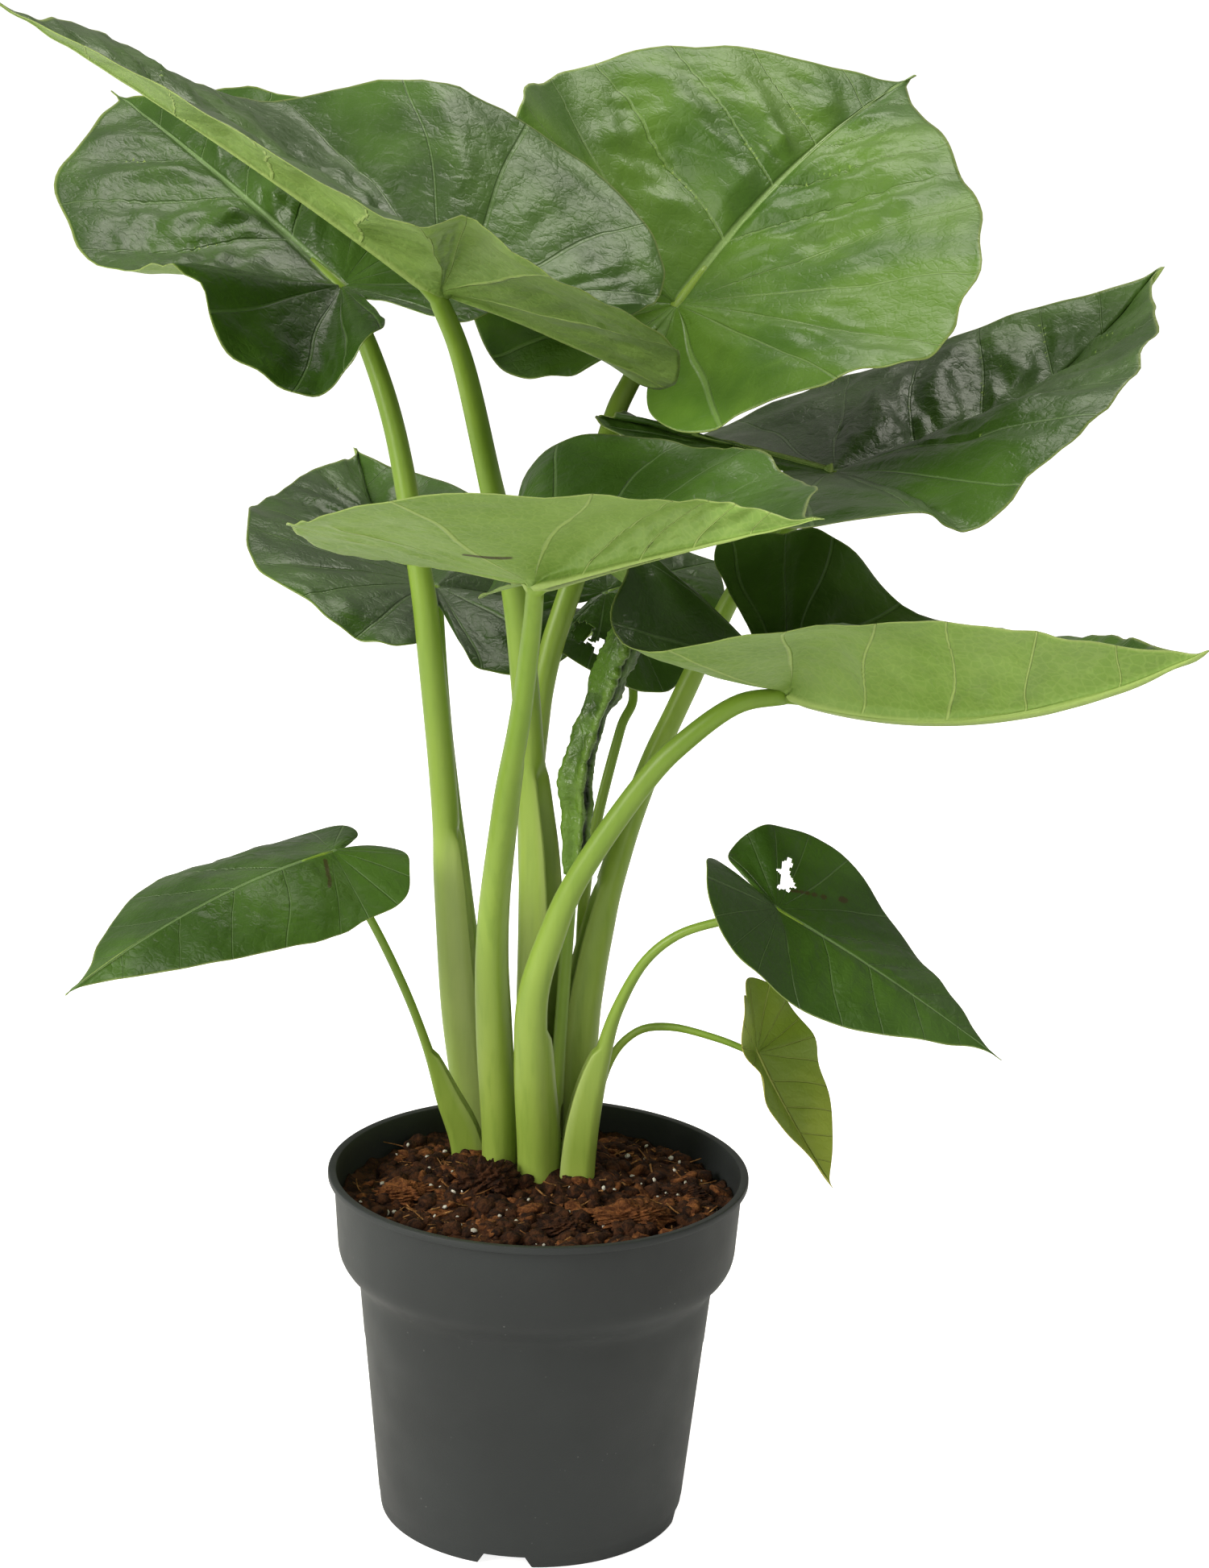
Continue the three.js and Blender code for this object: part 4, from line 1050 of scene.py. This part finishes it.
def roll_material():
    material, shader, w = new_material("rolled_skin", Roughness=0.3, Specular_IOR_Level=0.35)
    place = w.place()
    patch = w.noise(place, 60.0, 3.0, 0.5)
    paint = {key: rgb(code) for key, code in ROLL_COLOURS.items()}
    base = w.mix(w.span(patch, 0.35, 0.65), paint["dark"], paint["light"])
    base = w.mix(w.span(w.attribute("height"), 0.1, 0.45, 0.65, 0.0), base, paint["foot"])
    # Painted light where the folds and the lap stand out.
    base = w.mix(w.span(w.attribute("fold_highlight"), 0.1, 0.9, 0.0, 0.45), base, paint["fold_highlight"])
    # Painted shadow in the seam's dent.
    base = w.mix(w.span(w.attribute("seam"), 0.2, 0.9), base, paint["seam"])
    w.wire(shader, {"Base Color": base, "Normal": w.bump(w.noise(place, 190.0, 4.0, 1.0), 0.0016, 0.8)})
    return material


def pot_material():
    material, shader, w = new_material("anthracite_plastic", Roughness=0.5, Specular_IOR_Level=0.3)
    place = w.place()
    patch = w.noise(place, 9.0, 4.0)
    base = w.mix(w.span(patch, 0.3, 0.7), rgb(POT_COLOURS["dark"]), rgb(POT_COLOURS["light"]))
    specks = w.add("ShaderNodeTexVoronoi", {"Vector": place, "Scale": 190.0}).outputs["Distance"]
    dust = w.math("MULTIPLY", w.span(specks, 0.05, 0.1, 1.0, 0.0), w.span(w.noise(place, 30.0), 0.55, 0.7))
    base = w.mix(w.math("MULTIPLY", dust, 0.35), base, rgb(POT_COLOURS["dust"]))
    rough = w.math("ADD", w.math("MULTIPLY", w.noise(place, 45.0, 5.0), 0.2), 0.4)
    normal = w.bump(w.noise(place, 1400.0, 2.0), 0.00015, 0.5)
    w.wire(shader, {"Base Color": base, "Roughness": rough, "Normal": normal})
    return material


def soil_material(name):
    dark, light, scale = SOIL_FINISHES[name]
    material, shader, w = new_material(name, Roughness=0.95, Specular_IOR_Level=0.2)
    place = w.place()
    grain = w.noise(place, scale, 6.0, 0.6)
    colour = w.mix(w.span(grain, 0.35, 0.68), rgb(dark), rgb(light))
    w.wire(shader, {"Base Color": colour, "Normal": w.bump(w.noise(place, scale * 2.5, 6.0), 0.0015, 1.0)})
    return material


# Pieces

leaf_skins = {finish: leaf_material(finish) for finish in LEAF_COLOURS}
petiole_skin = petiole_material()

for number, leaf in enumerate(LEAVES):
    blade(leaf, number, leaf_skins[leaf["finish"]])
    start, run = midrib_run(leaf)
    line = [*leaf["stem"], tuple(start)]
    petiole(
        f"stalk_{leaf['name']}", line, leaf["girth"], leaf["sheath"], f"petiole_{leaf['name']}", petiole_skin,
        merge=run, shade=leaf.get("shade", GROOVE_SHADE), pale=leaf.get("pale", RIM_WIDTH),
    )

rolled_leaf(roll_material())
petiole("stalk_rolled", ROLL_STEM, ROLL_GIRTH, ROLL_SHEATH, "petiole_rolled_leaf", petiole_skin)
pot(pot_material())
earth = {name: soil_material(name) for name in SOIL_FINISHES}
soil(earth["peat"])

bed, loose_bed = seed_bed(0), seed_bed(LOOSE_LIFT)
tree = scatter_tree()
clod = lump("clod", 71, (1, 0.8, 0.6))
chip = lump("chip", 72, (1, 0.7, 0.4))
bead = lump("bead", 73, (1, 0.7, 0.55), 1)
thread = fibre("thread", 74)
strew("soil_clods", tree, bed, clod, earth["peat"])
strew("coir_chips", tree, bed, chip, earth["coir"])
strew("perlite_beads", tree, loose_bed, bead, earth["perlite"])
strew("coir_threads", tree, bed, thread, earth["straw"])
for label, place, size, seed, finish in CLUMPS:
    clump(label, place, size, seed, earth[finish])
for helper in (bed, loose_bed, clod, chip, bead, thread):
    bpy.data.objects.remove(helper)


# Room, light and camera

FLOOR_SIZE = 200
FLOOR_GLOW, FLOOR_GLOW_SEEN = 0.15, 0.85
LIGHT_COLOUR = (1, 0.97, 0.88)
LIGHT_TARGET = (0, 0, 0.4)
WORLD_STRENGTH = 0.32

# The lights: name, place and size in metres, and watts
LIGHTS = [
    ("left", (-2.6, -1.5, 1.7), 1.8, 96),
    ("above", (-0.5, -1.0, 2.9), 2.0, 36),
    ("behind", (0.9, 1.25, 2.95), 1.1, 17),
    ("behind_left", (0.1, 1.5, 2.7), 0.9, 8),
    ("front", (0.9, -3.0, 1.3), 1.8, 12),
]


def floor():
    bpy.ops.mesh.primitive_plane_add(size=FLOOR_SIZE, location=(0, 0, 0))
    plane = bpy.context.active_object
    plane.name = "floor"
    material, shader, w = new_material("pale_floor", Roughness=0.9)
    shader.inputs["Base Color"].default_value = (0.86, 0.86, 0.86, 1)
    shader.inputs["Emission Color"].default_value = (1, 1, 1, 1)
    seen = w.add("ShaderNodeLightPath").outputs["Is Camera Ray"]
    w.wire(shader, {"Emission Strength": w.span(seen, 0.0, 1.0, FLOOR_GLOW, FLOOR_GLOW_SEEN)})
    plane.data.materials.append(material)


def area_light(name, place, size, watts):
    data = bpy.data.lights.new(name, "AREA")
    data.color = LIGHT_COLOUR
    data.shape = "DISK"
    data.size = size
    data.energy = watts
    light = put(name, data)
    light.location = place
    light.rotation_euler = (Vector(LIGHT_TARGET) - Vector(place)).to_track_quat("-Z", "Y").to_euler()


def camera():
    down, turn, roll = (math.radians(a) for a in (CAMERA_DOWN, CAMERA_TURN, CAMERA_ROLL))
    forward = Vector((math.sin(turn) * math.cos(down), math.cos(turn) * math.cos(down), -math.sin(down)))
    right = Vector((math.cos(turn), -math.sin(turn), 0))
    up = right.cross(forward)
    axes = (
        math.cos(roll) * right + math.sin(roll) * up, -math.sin(roll) * right + math.cos(roll) * up, -forward,
    )
    data = bpy.data.cameras.new("camera")
    data.sensor_fit = "VERTICAL"
    data.sensor_height = 36
    data.lens = FOCAL_PIXELS / PHOTO_HEIGHT * data.sensor_height
    data.clip_end = FLOOR_SIZE
    view = put("camera", data)
    view.matrix_world = Matrix.Translation(Vector(CAMERA_PLACE) * MM) @ Matrix(axes).transposed().to_4x4()
    bpy.context.scene.camera = view


floor()
for figures in LIGHTS:
    area_light(*figures)
world = bpy.data.worlds.new("studio")
world.use_nodes = True
world.node_tree.nodes["Background"].inputs["Color"].default_value = (*LIGHT_COLOUR, 1)
world.node_tree.nodes["Background"].inputs["Strength"].default_value = WORLD_STRENGTH
bpy.context.scene.world = world
bpy.context.scene.view_settings.view_transform = "Standard"
camera()
